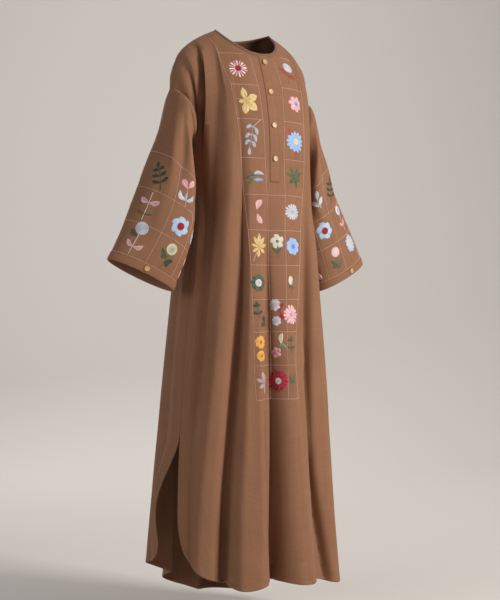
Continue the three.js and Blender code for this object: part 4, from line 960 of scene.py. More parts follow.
def neck_path():
    """The neck edge right round, from the wearer's right shoulder over the front: each panel's cloth with its places
    along the top edge.
    """
    stations = []
    for cloth in (front_cloth, back_cloth):
        tops = np.linspace(-30, 30, 61) if cloth is front_cloth else np.linspace(30, -30, 61)
        places = np.interp(tops, [row.top for row in cloth.panel.folds], np.arange(cloth.panel.last + 1))
        stations.append((cloth, places[:-1]))
    return stations


def binding_frame(across):
    """Points and normals right round the neck, a way down from its edge."""
    points, normals = [], []
    for cloth, places in neck_path():
        here, facing = cloth.at(places, np.zeros(len(places)))
        below, _ = cloth.at(places, np.full(len(places), 0.02))
        down = unit(below - here)
        points.append(here + down * across)
        normals.append(facing)
    points, normals = np.concatenate(points), np.concatenate(normals)
    for _ in range(3):  # the corner at each shoulder is eased
        normals = unit(np.roll(normals, 1, 0) + 2 * normals + np.roll(normals, -1, 0))
    return points, normals


def binding_piece():
    """The neck binding, folded over the edge, with a soft roll and a line where it is sewn down."""
    section = [
        (9.2, 0.2), (9.0, 0.9), (8.2, 1.25), (7.2, 1.0), (5.5, 1.45), (3, 1.65), (1, 1.6), (-0.9, 1.2), (-1.9, 0.2),
        (-2.1, -0.9),
        (-1.8, -2.2), (-0.8, -3.2), (1, -3.6), (4, -3.5), (6.5, -3.0), (7.2, -2.2), (6.5, -1.4), (3, -1.3),
    ]
    mesh = swept("neck_binding_cloth", binding_frame, section)
    return finished("neck_binding_cloth", mesh, [BINDING_COTTON], replaces=["neck_binding"])


def middle_down(z):
    """Ways down the centre front, at place 12.5, for heights."""
    downs = np.linspace(0, 3, 1201)
    heights = front_cloth.at(np.full(1201, MIDDLE), downs)[0][:, 2]
    return np.interp(-np.asarray(z, float), -heights, downs)


MIDDLE = 12.5


def placket_piece():
    """The placket: a strip with turned edges, closed with a box of stitches at its foot."""
    downs = middle_down(np.linspace(-74, PLACKET_END, 72))
    def frame_at(across):
        place, down = walk(front_cloth, np.full(72, MIDDLE), downs, across, 0)
        return front_cloth.at(place, down)
    half = 14.5
    section = [(-half, 0.05), (-half - 0.1, 0.9), (-half + 1, 1.5), (-half + 2.6, 1.35), (-half + 4, 1.6), (0, 1.7),
               (half - 4, 1.6), (half - 2.6, 1.35), (half - 1, 1.5), (half + 0.1, 0.9), (half, 0.05)]
    mesh = swept("placket_cloth", frame_at, section, closed_path=False)
    return finished("placket_cloth", mesh, [COTTON], replaces=["placket"])


# ---------------------------------------------------------------- buttons
RIM, SLOPE, DISH_DEPTH, HOLE = 0.2, 0.12, 0.32, 0.12  # shares of a button's radius, and of its thickness


def turned_button(radius, thick):
    """One wooden button, face up at the origin: a turned disc with a raised rim, a shallow dish and two holes."""
    bpy.ops.mesh.primitive_cylinder_add(vertices=56, radius=radius, depth=thick)
    button = bpy.context.object
    bpy.ops.object.mode_set(mode="EDIT")
    bpy.ops.mesh.select_all(action="DESELECT")
    bpy.ops.object.mode_set(mode="OBJECT")
    face = max(button.data.polygons, key=lambda polygon: polygon.center.z)
    face.select = True
    bpy.ops.object.mode_set(mode="EDIT")
    bpy.ops.mesh.inset(thickness=radius * RIM)
    bpy.ops.mesh.inset(thickness=radius * SLOPE)
    bpy.ops.transform.translate(value=(0, 0, -thick * DISH_DEPTH))
    bpy.ops.mesh.inset(thickness=radius * RIM)
    bpy.ops.object.mode_set(mode="OBJECT")
    edges = button.modifiers.new("soft edges", "BEVEL")
    edges.width, edges.segments, edges.limit_method, edges.angle_limit = radius * 0.05, 2, "ANGLE", math.radians(35)
    bpy.ops.object.modifier_apply(modifier="soft edges")
    for side in (-1, 1):
        bpy.ops.mesh.primitive_cylinder_add(vertices=20, radius=radius * HOLE, depth=thick * 3,
            location=(side * radius * 0.27, 0, 0))
        drill = bpy.context.object
        bpy.context.view_layer.objects.active = button
        hole = button.modifiers.new("hole", "BOOLEAN")
        hole.operation, hole.object, hole.solver = "DIFFERENCE", drill, "EXACT"
        bpy.ops.object.modifier_apply(modifier="hole")
        bpy.data.objects.remove(drill)
    return button


def button_place(node, facing):
    """A CAD button's middle, its upright frame facing a way, its radius and its thickness, in metres."""
    points = np.array([vertex.co for vertex in node.data.vertices])
    middle = (points.max(0) + points.min(0)) / 2
    axis = np.linalg.svd(points - points.mean(0), full_matrices=False)[2][2]
    axis *= np.sign(axis @ facing)
    side = unit(np.cross((0, 0, 1.0), axis))
    over = np.cross(axis, side)
    off = points - middle
    along = off @ axis
    return (middle, (side, over, axis), float(np.linalg.norm(off - along[:, None] * axis, axis=1).max()),
        float(np.ptp(along)))


def button_pieces():
    """Each button is a copy of one model, laid where its solid is, with the threads that sew it on."""
    stitches, model = Stitches(), None
    for name in [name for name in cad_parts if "button" in name]:
        facing = (-0.5, -0.8, 0.2) if name == "cuff_button_right" else (0.5, -0.8,
            0.2) if name == "cuff_button_left" else (0, -1, 0)
        middle, (side, over, axis), radius, thick = button_place(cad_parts[name], np.array(facing))
        if model is None:
            model = turned_button(radius, thick)
        mesh = model.data.copy()
        mesh.transform(Matrix([(*row, at) for row, at in zip(np.stack([side, over, axis]).T, middle)] + [(0, 0, 0, 1)]))
        piece = finished(f"{name}_wood", mesh, [WOOD], replaces=[name])
        piece.data.set_sharp_from_angle(angle=math.radians(38))
        top = middle / MM + axis * (thick / MM * 0.5 - thick / MM * 0.3)
        for lane in (-0.55, 0.0, 0.55):
            ends = [top + side * (radius / MM * 0.3 * end) + over * lane + axis * (0.35 if end == 0 else -0.15)
                for end in (-1, -0.8, 0, 0.8, 1)]
            stitches.row(np.array(ends), np.repeat(axis[None], 5, 0), 20, 0.0, 0.62, 0.45)
    bpy.data.objects.remove(model)
    return stitches.piece("button_threads", BUTTON_THREAD)



# ---------------------------------------------------------------- places on the cloth, measured along it
def walk(cloth, place, down, right, up, steps=8):
    """Places that lie right and up from others, in millimetres along the cloth as it is seen from outside.

    On the body up is the shortest way up the cloth, and on a sleeve it is along the sleeve."""
    place, down, right, up = [np.array(a, float) for a in np.broadcast_arrays(place, down, right, up)]
    on_sleeve = isinstance(cloth, SleeveCloth)
    wide, short, most = (1.0, 0.004, 1) if on_sleeve else (0.03, 0.004, 3)
    for _ in range(steps):
        _, normal = cloth.at(place, down)
        low, high = np.clip(down - short, 0, most), np.clip(down + short, 0, most)
        by_place = (cloth.at(place + wide, down)[0] - cloth.at(place - wide, down)[0]) / (2 * wide)
        by_down = (cloth.at(place, high)[0] - cloth.at(place, low)[0]) / (high - low)[..., None]
        if on_sleeve:
            over = unit(-by_down)
            across = unit(np.cross(over, normal))
        else:
            across = unit(np.cross((0, 0, 1.0), normal))
            over = unit(np.cross(normal, across))
        move = (across * right[..., None] + over * up[..., None]) / steps
        a, b, c = (by_place**2).sum(-1), (by_place * by_down).sum(-1), (by_down**2).sum(-1)
        e, f = (by_place * move).sum(-1), (by_down * move).sum(-1)
        det = np.maximum(a * c - b * b, 1e-6)
        place = place + np.clip((c * e - b * f) / det, -9 * wide, 9 * wide)
        down = np.clip(down + np.clip((a * f - b * e) / det, -0.05, 0.05), 0, most)
        if not on_sleeve:
            place = np.clip(place, 0.05, cloth.panel.last - 0.05)
    return place, down


def down_for(cloth, place, z):
    """Ways down a panel at which places reach heights."""
    place, z = [np.array(a, float) for a in np.broadcast_arrays(place, z)]
    low, high = np.zeros(place.shape), np.full(place.shape, 3.0)
    for _ in range(22):
        middle = (low + high) / 2
        above = cloth.at(place, middle)[0][..., 2] > z
        low, high = np.where(above, middle, low), np.where(above, high, middle)
    return (low + high) / 2


# ---------------------------------------------------------------- stitches
STITCH_RUN = ((0, 0.3), (0.14, 0.95), (0.86, 0.95), (1, 0.3))  # along a stitch, and its share of the full size
STITCH_ARC = ((-1, -0.3), (-0.55, 0.85), (0.55, 0.85), (1, -0.3))  # across a stitch, and out of the cloth


class Stitches:
    """Rows of small stitches that become one joined mesh."""

    def __init__(self):
        self.points, self.faces, self.uv, self.count = [], [], [], 0
        self.chance = np.random.default_rng(7)

    def row(self, points, normals, long, gap, wide, high, wander=0.0):
        """Stitches along a line of points that lies on the cloth."""
        points, normals = np.asarray(points), np.asarray(normals)
        along = np.concatenate([[0], np.cumsum(np.linalg.norm(np.diff(points, axis=0), axis=1))])
        number = max(1, int(along[-1] / (long + gap)))
        pitch = along[-1] / number
        begin = np.arange(number) * pitch + gap / 2 + self.chance.uniform(-0.12, 0.12, number)
        size = (pitch - gap) * self.chance.uniform(0.94, 1.04, number)
        read = lambda values, at: np.stack([np.interp(at, along, values[:, k]) for k in range(3)], -1)
        shift = self.chance.uniform(-1, 1, number) * wander
        grid, run = [], []
        for share, full in STITCH_RUN:
            at = begin + size * share
            here, facing = read(points, at), unit(read(normals, at))
            ahead = unit(read(points, at + 0.4) - read(points, at - 0.4) + 1e-9)
            side = unit(np.cross(facing, ahead))
            grid.append([here + side * (shift + across * wide / 2 * full)[:, None]
                + facing * (out * high * (full if out > 0 else 1)) for across, out in STITCH_ARC])
            run.append(size * share)
        grid = np.array(grid).transpose(2, 0, 1, 3)  # stitch, along, across
        stitch = grid_faces(len(STITCH_RUN), len(STITCH_ARC))
        base = self.count + np.arange(number)[:, None, None] * 16
        self.faces.append((stitch[None] + base).reshape(-1, 4))
        u = np.broadcast_to(np.array([wide * 0.5 * a for a, _ in STITCH_ARC])[None, None], grid.shape[:3])
        v = np.broadcast_to(np.array(run).T[:, :, None], grid.shape[:3])
        self.uv.append(np.stack([u, v], -1).reshape(-1, 2))
        self.points.append(grid.reshape(-1, 3))
        self.count += 16 * number

    def piece(self, name, material):
        mesh = mesh_from(name, np.concatenate(self.points), np.concatenate(self.faces))
        uv_named(mesh, np.concatenate(self.uv))
        return finished(name, mesh, [material])


def uv_named(mesh, uv):
    layer = mesh.uv_layers.new(name="stitch")
    loops = np.zeros(len(mesh.loops), np.int32)
    mesh.loops.foreach_get("vertex_index", loops)
    layer.data.foreach_set("uv", (np.asarray(uv)[loops] * MM).astype(np.float32).ravel())


def topstitch(stitches, points, normals, wide=0.62, high=0.34):
    stitches.row(points, normals, 2.5, 0.75, wide, high, wander=0.08)


def gridstitch(stitches, points, normals):
    stitches.row(points, normals, 3.3, 0.5, 1.1, 0.6, wander=0.12)


# ---------------------------------------------------------------- hems
def edge_path(cloth, spacing=4.0):
    """A line along both slit edges and the hem of a panel: places and ways down."""
    last = cloth.panel.last
    down_side = np.linspace(2.0, 3.0, 90)
    places = np.linspace(0, last, 30 * last + 1)[1:-1]
    whole_places = np.concatenate([np.zeros(90), places, np.full(90, float(last))])
    whole_downs = np.concatenate([down_side, np.full(len(places), 3.0), down_side[::-1]])
    line = cloth.at(whole_places, whole_downs)[0]
    along = np.concatenate([[0], np.cumsum(np.linalg.norm(np.diff(line, axis=0), axis=1))])
    at = np.linspace(0, along[-1], int(along[-1] / spacing))
    return np.interp(at, along, whole_places), np.interp(at, along, whole_downs)


def edge_frame(cloth, inwards):
    """Points and normals of a line that runs a way in from a panel's slit edges and hem, on the cloth itself."""
    places, downs = edge_path(cloth)
    points, normals = cloth.at(places, downs)
    ahead = unit(np.gradient(points, axis=0))
    for _ in range(6):
        ahead[1:-1] = unit(ahead[:-2] + 2 * ahead[1:-1] + ahead[2:])
    inward = unit(np.cross(normals, ahead))
    middle = cloth.at(np.full(1, cloth.panel.last / 2), np.full(1, 2.4))[0][0]
    turned = np.sign(((middle - points) * inward).sum(-1).sum())
    target = points + inward * turned * inwards
    return settle(cloth, target, places, downs)


def settle(cloth, target, places, downs):
    """The places on a panel that lie nearest to points, from places close by, and their normals."""
    places, downs = places.copy(), downs.copy()
    for _ in range(7):
        here, _ = cloth.at(places, downs)
        dp = (cloth.at(np.clip(places + 0.02, 0, cloth.panel.last),
            downs)[0] - cloth.at(np.clip(places - 0.02, 0, cloth.panel.last), downs)[0]) / 0.04
        dd = (cloth.at(places, np.clip(downs + 0.003, 0, 3))[0] - cloth.at(places,
            np.clip(downs - 0.003, 0, 3))[0]) / 0.006
        miss = target - here
        a, b, c = (dp * dp).sum(-1), (dp * dd).sum(-1), (dd * dd).sum(-1)
        e, f = (dp * miss).sum(-1), (dd * miss).sum(-1)
        det = np.maximum(a * c - b * b, 1e-6)
        places = np.clip(places + np.clip((c * e - b * f) / det, -0.4, 0.4), 0, cloth.panel.last)
        downs = np.clip(downs + np.clip((a * f - b * e) / det, -0.08, 0.08), 0, 3)
    return cloth.at(places, downs)


def hem_piece(cloth, name):
    """The turned hem: a narrow fold along the slit edges and the bottom, which stands a little proud of the cloth."""
    lines = {across: edge_frame(cloth, across) for across in (0.0, 1.2, HEM_TURN - 1.6, float(HEM_TURN))}
    section = [(0.0, -1.7), (0.0, 0.15), (1.2, 0.62), (HEM_TURN - 1.6, 0.5), (float(HEM_TURN), -0.35),
        (HEM_TURN - 1.6, -1.7)]
    mesh = swept(name, lambda across: lines[across], section, closed_path=False)
    return finished(name, mesh, [COTTON])


# ---------------------------------------------------------------- all the topstitching
def seam_stitches():
    stitches = Stitches()
    for cloth in (front_cloth, back_cloth):
        topstitch(stitches, *lifted(edge_frame(cloth, HEM_TURN - 1.9), 0.5))
    downs = middle_down(np.linspace(-76, PLACKET_END + 3, 90))
    for side in (-1, 1):
        place, down = walk(front_cloth, np.full(90, MIDDLE), downs, side * 12.4, 0)
        topstitch(stitches, *front_cloth.at(place, down, 1.42))
    for z in (PLACKET_END + 3, PLACKET_END + 22):  # the box at the placket's foot
        place, down = walk(front_cloth, np.full(20, MIDDLE), middle_down(np.full(20, z)),
            np.linspace(-12.4, 12.4, 20), 0)
        topstitch(stitches, *front_cloth.at(place, down, 1.5))
    points, normals = binding_frame(6.9)
    topstitch(stitches, np.concatenate([points, points[:1]]) + np.concatenate([normals, normals[:1]]) * 1.0,
        np.concatenate([normals, normals[:1]]))
    for cloth in (right_sleeve, left_sleeve):
        rings = np.linspace(0, 360, 181)
        for across in (3.2, CUFF_BAND - 3.4):
            topstitch(stitches, *cloth.at(rings, np.full(181, BAND_START + across / WRIST), 1.8))
    return stitches.piece("topstitching", SEAM_THREAD)


def lifted(line, out):
    points, normals = line
    return points + normals * out, normals


# ---------------------------------------------------------------- the embroidered grid
GridRow = namedtuple("GridRow", "z left_outer left_inner right_inner right_outer")
GRID = [
    GridRow(-27, 7.32, None, None, None),
    GridRow(-72, 7.96, 11.18, 13.08, 14.12),
    GridRow(-122, 8.28, 11.42, 13.12, 14.16),
    GridRow(-157, 8.62, 11.62, 13.16, 14.24),
    GridRow(-246, 8.70, 11.80, 13.08, 14.20),
    GridRow(-345, 8.88, 11.88, 13.04, 14.20),
    GridRow(-438, 9.20, 12.04, 13.08, 14.12),
    GridRow(-528, 9.68, 12.08, 13.04, 13.96),
    GridRow(-617, 10.00, 12.08, 13.04, 13.76),
    GridRow(-704, 10.16, 12.12, 13.00, 13.52),
    GridRow(-786, 10.40, 12.10, 12.96, 13.32),
    GridRow(-870, 10.44, 12.08, 12.92, 13.20),
    GridRow(-955, 10.68, 12.05, 12.84, 13.20),
]
GRID_ROWS = (-72, -157, -246, -345, -438, -528, -617, -704, -786, -870, -955)
RIGHT_LINES = {"rows": (0.35, 0.56, 0.76), "columns": (342, 72, 126, 180, 234, 288)}
LEFT_LINES = {"rows": (0.34, 0.56, 0.75), "columns": (34, 88, 132, 180, 228, 272, 326)}
CUFF_LINE = BAND_START - 2.5 / WRIST


def column_line(name, z):
    rows = [row for row in GRID if getattr(row, name) is not None]
    return np.interp(-z, [-row.z for row in rows], [getattr(row, name) for row in rows])


def front_grid():
    stitches = Stitches()
    def line(places, heights):
        down = down_for(front_cloth, places, heights)
        gridstitch(stitches, *front_cloth.at(places, down, 0.1))
    for name, top in (("left_outer", -27), ("left_inner", -80), ("right_inner", -84), ("right_outer", -74)):
        heights = np.linspace(top, -955, 260)
        line(column_line(name, heights), heights)
    for z in GRID_ROWS:
        a, b, c, d = [float(column_line(name, np.array(float(z))))
            for name in ("left_outer", "left_inner", "right_inner", "right_outer")]
        # beside the placket a row stops at the inner columns, and below it the row runs right across
        spans = [(a, 10.35), (13.45, d)] if z == -72 else [(a, b), (c, d)] if z > PLACKET_END else [(a, d)]
        for start, end in spans:
            line(np.linspace(start, end, 60), np.full(60, float(z)))
    return stitches.piece("front_grid", GRID_THREAD)


def sleeve_grid(cloth, lines, name):
    stitches = Stitches()
    for along in (*lines["rows"], CUFF_LINE):
        rings = np.linspace(0, 360, 181)
        gridstitch(stitches, *cloth.at(rings, np.full(181, along), 0.1))
    for ring in lines["columns"]:
        along = np.linspace(lines["rows"][0], CUFF_LINE, 80)
        gridstitch(stitches, *cloth.at(np.full(80, ring), along, 0.1))
    return stitches.piece(name, GRID_THREAD)



# ---------------------------------------------------------------- embroidery threads
# A shape is drawn on a small chart, in millimetres right and up of the motif's middle, and filled with laid threads.
Threads = namedtuple("Threads", "stations outs wide colours")
SHARES = np.array([0, 0.14, 0.5, 0.86, 1])
ARCH = np.array([0, 0.72, 1, 0.72, 0])
PROFILES = {
    "petal": ((0, 0.3), (0.15, 0.5), (0.4, 0.82), (0.65, 1), (0.85, 0.84), (0.95, 0.55), (1, 0.2)),
    "leaf": ((0, 0.08), (0.12, 0.5), (0.3, 0.88), (0.45, 1), (0.65, 0.84), (0.85, 0.45), (1, 0.06)),
    "lobe": ((0, 0.25), (0.15, 0.5), (0.4, 1), (0.6, 0.86), (0.8, 0.48), (1, 0.06)),
    "strip": ((0, 0.6), (0.08, 1), (0.92, 1), (1, 0.5)),
}
chance = np.random.default_rng(21)

WHITE, CREAM, LILAC_WHITE = (0.76, 0.72, 0.68), (0.74, 0.67, 0.5), (0.6, 0.56, 0.63)
BLUSH, PINK, ROSE, RED, BRICK, MAUVE = (0.8, 0.52, 0.53), (0.8, 0.4, 0.46), (0.72, 0.24, 0.34), (0.42, 0.008,
    0.028), (0.36, 0.045, 0.03), (0.42, 0.28, 0.3)
STRAW, GOLD, ORANGE, YELLOW = (0.72, 0.5, 0.19), (0.78, 0.36, 0.05), (0.55, 0.17, 0.02), (0.76, 0.6, 0.18)
ICE, MIST, SKY, BLUE, VIOLET = (0.5, 0.62, 0.7), (0.42, 0.44, 0.53), (0.28, 0.45, 0.76), (0.16, 0.29, 0.62), (0.23,
    0.26, 0.58)
FOREST, LEAF_GREEN, OLIVE, SAGE = (0.03, 0.058, 0.028), (0.06, 0.105, 0.045), (0.12, 0.12, 0.06), (0.3, 0.33, 0.22)


def laid(starts, ends, wide, dome, colours):
    stations = starts[:, None] + (ends - starts)[:, None] * SHARES[None, :, None]
    return Threads(stations, np.broadcast_to(ARCH * dome, (len(starts), 5)), np.full(len(starts), wide), colours)


def along_spine(spine, pitch):
    """Evenly spaced points, headings and shares along a line of chart points that is rounded at its corners."""
    spine = np.array(spine, float)
    t = np.linspace(0, 1, len(spine))
    fine = np.linspace(0, 1, 41)
    curve = np.stack([through(t, spine[:, k], fine) if len(spine) > 2 else np.interp(fine, t, spine[:, k])
        for k in (0, 1)], -1)
    run = np.concatenate([[0], np.cumsum(np.linalg.norm(np.diff(curve, axis=0), axis=1))])
    number = max(2, int(round(run[-1] / pitch)))
    at = (np.arange(number) + 0.5) / number
    read = lambda share: np.stack([np.interp(share * run[-1], run, curve[:, k]) for k in (0, 1)], -1)
    heading = unit(read(np.clip(at + 0.03, 0, 1)) - read(np.clip(at - 0.03, 0, 1)))
    return read(at), heading, at


def satin(spine, half, colour, tip=None, profile="leaf", slant=0.45, vein=False, dome=0.75, pitch=0.82):
    """A leaf or petal along a spine, filled across with satin stitch, or from its midrib outwards."""
    points, heading, at = along_spine(spine, pitch)
    side = np.stack([-heading[:, 1], heading[:, 0]], -1)
    wide = half * np.interp(at, *zip(*PROFILES[profile])) * chance.uniform(0.95, 1.05, len(at))
    reach, lean = side * wide[:, None], heading * (wide * slant)[:, None]
    shade = mixed(np.array(colour), np.array(tip if tip is not None else colour), at[:, None]) * chance.uniform(0.93,
        1.05, (len(at), 1))
    if not vein:
        return [laid(points - reach - lean, points + reach + lean, 1.06, dome, shade)]
    inner = points - lean * 0.5
    return ([laid(inner, points + reach + lean, 1.06, dome, shade),
        laid(inner, points - reach + lean, 1.06, dome, shade * 0.94)])


def stem(spine, colour, wide=1.4):
    """A line of stem stitch."""
    points, heading, _ = along_spine(spine, 2.4)
    return ([laid(points - heading * 1.75, points + heading * 1.75, wide, 0.6,
        np.array(colour) * chance.uniform(0.93, 1.05, (len(points), 1)))])


def disc(radius, colour, heart=None, at=(0, 0), tall=1.0, lift=0.0):
    """A round worked in rings of thread, from its heart outwards."""
    found = []
    for k, r in enumerate(np.arange(radius - 0.45, 0.2, -0.92)):
        number = max(3, int(2 * math.pi * r / 3.0))
        turn = (np.arange(number)[:, None] + SHARES[None] * 1.06) / number * 2 * math.pi + k * 1.3
        stations = np.stack([np.cos(turn) * r, np.sin(turn) * r * tall], -1) + at
        share = 1 - r / radius
        shade = mixed(np.array(colour), np.array(heart if heart is not None else colour),
            share**1.2) * chance.uniform(0.92, 1.05, (number, 1))
        high = 0.42 + 0.55 * math.sqrt(share) + lift
        outs = np.broadcast_to(high * np.array([0.6, 0.9, 1, 0.9, 0.6]) - (0.3 if k == 0 else 0), (number, 5))
        found.append(Threads(stations, outs, np.full(number, 1.12), shade))
    return found


def petals(number, inner, outer, half, colour, tip=None, turn=0.0, at=(0, 0), profile="petal", dome=0.75):
    found = []
    for k in range(number):
        a = math.radians(turn) + 2 * math.pi * (k + chance.uniform(-0.05, 0.05)) / number
        way = np.array([math.cos(a), math.sin(a)])
        found += satin([way * inner + at, way * (outer * chance.uniform(0.95, 1.04)) + at], half, colour, tip,
            profile, 0.3, dome=dome)
    return found


def rays(number, inner, outer, half, colour, tip=None, turn=0.0, at=(0, 0)):
    """A daisy's narrow petals, each of a few long stitches."""
    found = []
    for k in range(number):
        a = math.radians(turn) + 2 * math.pi * (k + chance.uniform(-0.08, 0.08)) / number
        way, side = np.array([math.cos(a), math.sin(a)]), np.array([-math.sin(a), math.cos(a)])
        reach = outer * chance.uniform(0.92, 1.05)
        offs = np.arange(-half + 0.45, half, 0.85)
        starts = way * inner + side * (offs * 0.35)[:, None] + at
        ends = way * (reach - (offs / half) ** 2 * 2.4)[:, None] + side * offs[:, None] + at
        shade = np.broadcast_to(np.array(tip if (tip is not None and k % 2) else colour) * chance.uniform(0.94,
            1.05), (len(offs), 3))
        found.append(laid(starts, ends, 1.08, 0.7, shade))
    return found


def leaves(tips, half, colour, base=(0, 0), tip=None, profile="leaf", vein=True, slant=0.7):
    found = []
    for place in tips:
        found += satin([base, place], half, colour, tip, profile, slant, vein)
    return found


def sprig(high, pairs, half, colour, spread=22, bend=0.0):
    """An upright sprig: a stem with pairs of leaves and one at its tip."""
    found = stem([(bend * -6, -high), (bend * 3, 0), (0, high * 0.62)], colour, 1.5)
    for k in range(pairs):
        y = mixed(-high * 0.52, high * 0.34, k / max(1, pairs - 1))
        long = spread * mixed(1.0, 0.72, k / max(1, pairs - 1))
        for side in (-1, 1):
            found += satin([(side * 1.0, y), (side * long * 0.5, y + 4), (side * long, y + long * 0.42)], half,
                colour, profile="leaf", slant=0.7, vein=True)
    return found + satin([(0, high * 0.5), (1.5, high)], half * 0.9, colour, slant=0.7, vein=True)


# ---------------------------------------------------------------- the charted flowers and leaves
def red_hearted_daisy():
    return (stem([(0, -24), (1, -38)], BRICK, 1.2) + rays(16, 6, 26, 2.2, (0.93, 0.76, 0.76), PINK, 5)
        + disc(8.6, RED, (0.3, 0.005, 0.02), lift=0.6))


def round_on_red_stem():
    return (stem([(-3, -22), (1, -2), (4, 16)], BRICK) + leaves([(-17, 16)], 4.8, BRICK, (0, 0))
        + leaves([(24, 1)], 4.8, BRICK, (1, 2))
            + disc(12.5, LILAC_WHITE, ICE, (6, 25)))


def five_lobed_leaf():
    found = stem([(-13, 2), (-27, 5)], STRAW, 1.2)
    for place, half in (((-9, 34), 9), ((31, 14), 10.5), ((29, -24), 11.5), ((-4, -35), 10), ((-21, -4), 5.5)):
        found += satin([(-2 - place[0] * 0.12, -place[1] * 0.12), place], half, STRAW, (0.78, 0.58, 0.26), "lobe",
            0.8, True)
    return found


def hearted_flower(number, outer, half, colour, ring, heart, inner=4.0, turn=12):
    return (petals(number, inner, outer, half, colour, turn=turn)
        + petals(number, 2, outer * 0.62, half * 0.5, ring, turn=turn, dome=1.0)
            + disc(outer * 0.27, heart, lift=0.7))


def hanging_sprig():
    found = stem([(27, 52), (14, 42), (4, 33)], CREAM, 1.3) + stem([(4, 33), (-1, 10), (-8, -22)], MIST, 1.2)
    for base, way in (((3, 31), ((-4, 35), (-15, 29))), ((5, 33), (12, 26, 16, 12)),
        ((-1, 12), ((-8, 13), (-18, 4))), ((0, 14), (8, 7, 12, -6)),
                      ((-4, -5), ((-10, -4), (-19, -13))), ((-3, -4), (4, -10, 7, -20))):
        way = way if len(way) == 2 else (way[:2], way[2:])
        found += satin([base, *way], 5.2, MIST, (0.5, 0.51, 0.58), slant=0.6, vein=True)
    return found + satin([(-8, -20), (-9, -38)], 4.6, (0.5, 0.51, 0.58), slant=0.6, vein=True)


def blue_daisy():
    return (stem([(-2, -22), (-3, -44)], BRICK, 2.2) + stem([(3, -22), (5, -42)], BRICK, 1.6)
        + satin([(-14, 16), (-19, 33)], 3.4, BRICK)
            + petals(13, 6, 27, 5.0, SKY, (0.36, 0.53, 0.8), 8) + disc(8.5, CREAM, YELLOW, lift=0.6))


def two_buds():
    return (leaves([(-27, -3), (-21, -19), (-18, 13)], 4.2, OLIVE) + stem([(-14, -2), (0, 0), (24, -7)], SAGE, 1.1)
            + satin([(-8, 6), (6, 11), (24, 6)], 5.2, MIST, (0.5, 0.55, 0.66), slant=0.5)
            + satin([(-8, -6), (6, -8), (23, -7)], 4.4, MIST, BLUE, slant=0.5))


def leaf_cluster():
    return (leaves([(-22, 8), (-12, 24), (8, 26), (22, 12), (18, -10)], 5.5, OLIVE)
        + leaves([(-14, -18), (4, -27)], 4.8, LEAF_GREEN)
            + stem([(0, 0), (2, -30)], OLIVE, 1.2))


def leaf_pair():
    return (satin([(-7, 5), (-2, 20), (9, 30)], 8.5, PINK, BLUSH, slant=0.5, vein=True)
        + satin([(-7, -5), (0, -20), (8, -29)], 8, PINK, BLUSH, slant=0.5, vein=True))


def misty_daisy():
    return (stem([(0, -18), (-2, -38)], BRICK, 2.0) + rays(15, 4, 22, 2.8, ICE, LILAC_WHITE, 3)
        + disc(6, MIST, (0.6, 0.56, 0.5), lift=0.5))


def fan_leaf():
    found = stem([(-8, -14), (-18, -36)], STRAW, 1.3)
    for place, half in (((-14, 28), 5), ((3, 36), 5.6), ((20, 26), 5.6), ((27, 6), 5.2), ((18, -14), 5.4),
        ((-3, -26), 5.4), ((-19, -12), 4.6), ((-22, 8), 4.4)):
        found += satin([(place[0] * 0.06, place[1] * 0.06), place], half, STRAW, (0.8, 0.58, 0.24), "lobe", 0.8, True)
    return found


def cream_flower():
    return (stem([(0, 0), (1, -34)], OLIVE, 1.5) + petals(5, 2, 18, 8.6, CREAM, (0.58, 0.58, 0.5), 18, (0, 10))
        + leaves([(-12, -6), (12, -5)], 4.4, OLIVE, (0, -20)) + disc(4.5, OLIVE, SAGE, (0, 10), lift=0.6))


def blue_flower():
    return (stem([(-4, -18), (-8, -40)], BRICK, 1.8) + stem([(3, -18), (5, -38)], BRICK, 1.6)
        + petals(8, 2, 22, 8.4, SKY, (0.36, 0.52, 0.8), 10) + disc(6.5, BLUE, VIOLET, lift=0.6))


def leafy_round():
    return petals(9, 3, 21, 8.4, FOREST, LEAF_GREEN, 5) + disc(9.5, WHITE, PINK, lift=0.7)


def oval_on_stem():
    return (stem([(0, -6), (0, -40)], OLIVE, 1.2) + leaves([(-10, -16), (12, 6), (10, -20)], 4.2, OLIVE, (0, -12))
        + disc(9, WHITE, CREAM, tall=1.35))


def dark_sprig():
    return sprig(21, 2, 4.2, FOREST, 13)


def slanting_sprig():
    return leaves([(-14, -12), (14, 12), (-4, 15), (8, -14)], 5, FOREST) + stem([(-12, 10), (10, -16)], LEAF_GREEN, 1.2)


def rose(radius):
    return (petals(7, 2, radius * 1.12, radius * 0.56, WHITE, LILAC_WHITE, 8)
        + disc(radius * 0.6, LILAC_WHITE, MIST, lift=0.6))


def red_leaves():
    return (leaves([(-4, 16), (6, 14)], 4.2, RED, (0, 4)) + leaves([(-7, -6)], 4, RED, (0, 4))
        + leaves([(6, -26)], 4.2, RED, (0, -10))
            + stem([(0, 6), (-3, -14), (2, -26)], RED, 1.2))


def pink_daisy():
    return rays(14, 3, 25, 3.9, PINK, BLUSH, 4) + disc(6, MIST, ROSE, lift=0.5)


def gold_daisy(radius):
    return (petals(9, radius * 0.1, radius, radius * 0.36, GOLD, (0.8, 0.42, 0.09), 6)
        + disc(radius * 0.28, ORANGE, lift=0.6))


def bud_on_sage():
    return (stem([(0, -8), (3, -24)], SAGE, 1.1) + leaves([(12, -22), (-6, -17)], 3.2, SAGE, (0, -8))
        + satin([(-2, -11), (-3, 4), (2, 17)], 6.5, CREAM, (0.78, 0.64, 0.4), slant=0.5, vein=True))


def small_green_sprig():
    return sprig(22, 2, 3.2, LEAF_GREEN, 12)


def mauve_star():
    return (leaves([(-6, 27), (16, 26), (19, 2), (6, -30), (-14, -14), (-19, 10)], 4.6, MAUVE,
        tip=(0.55, 0.42, 0.46)) + stem([(0, 8), (2, -24)], MAUVE, 1.2))


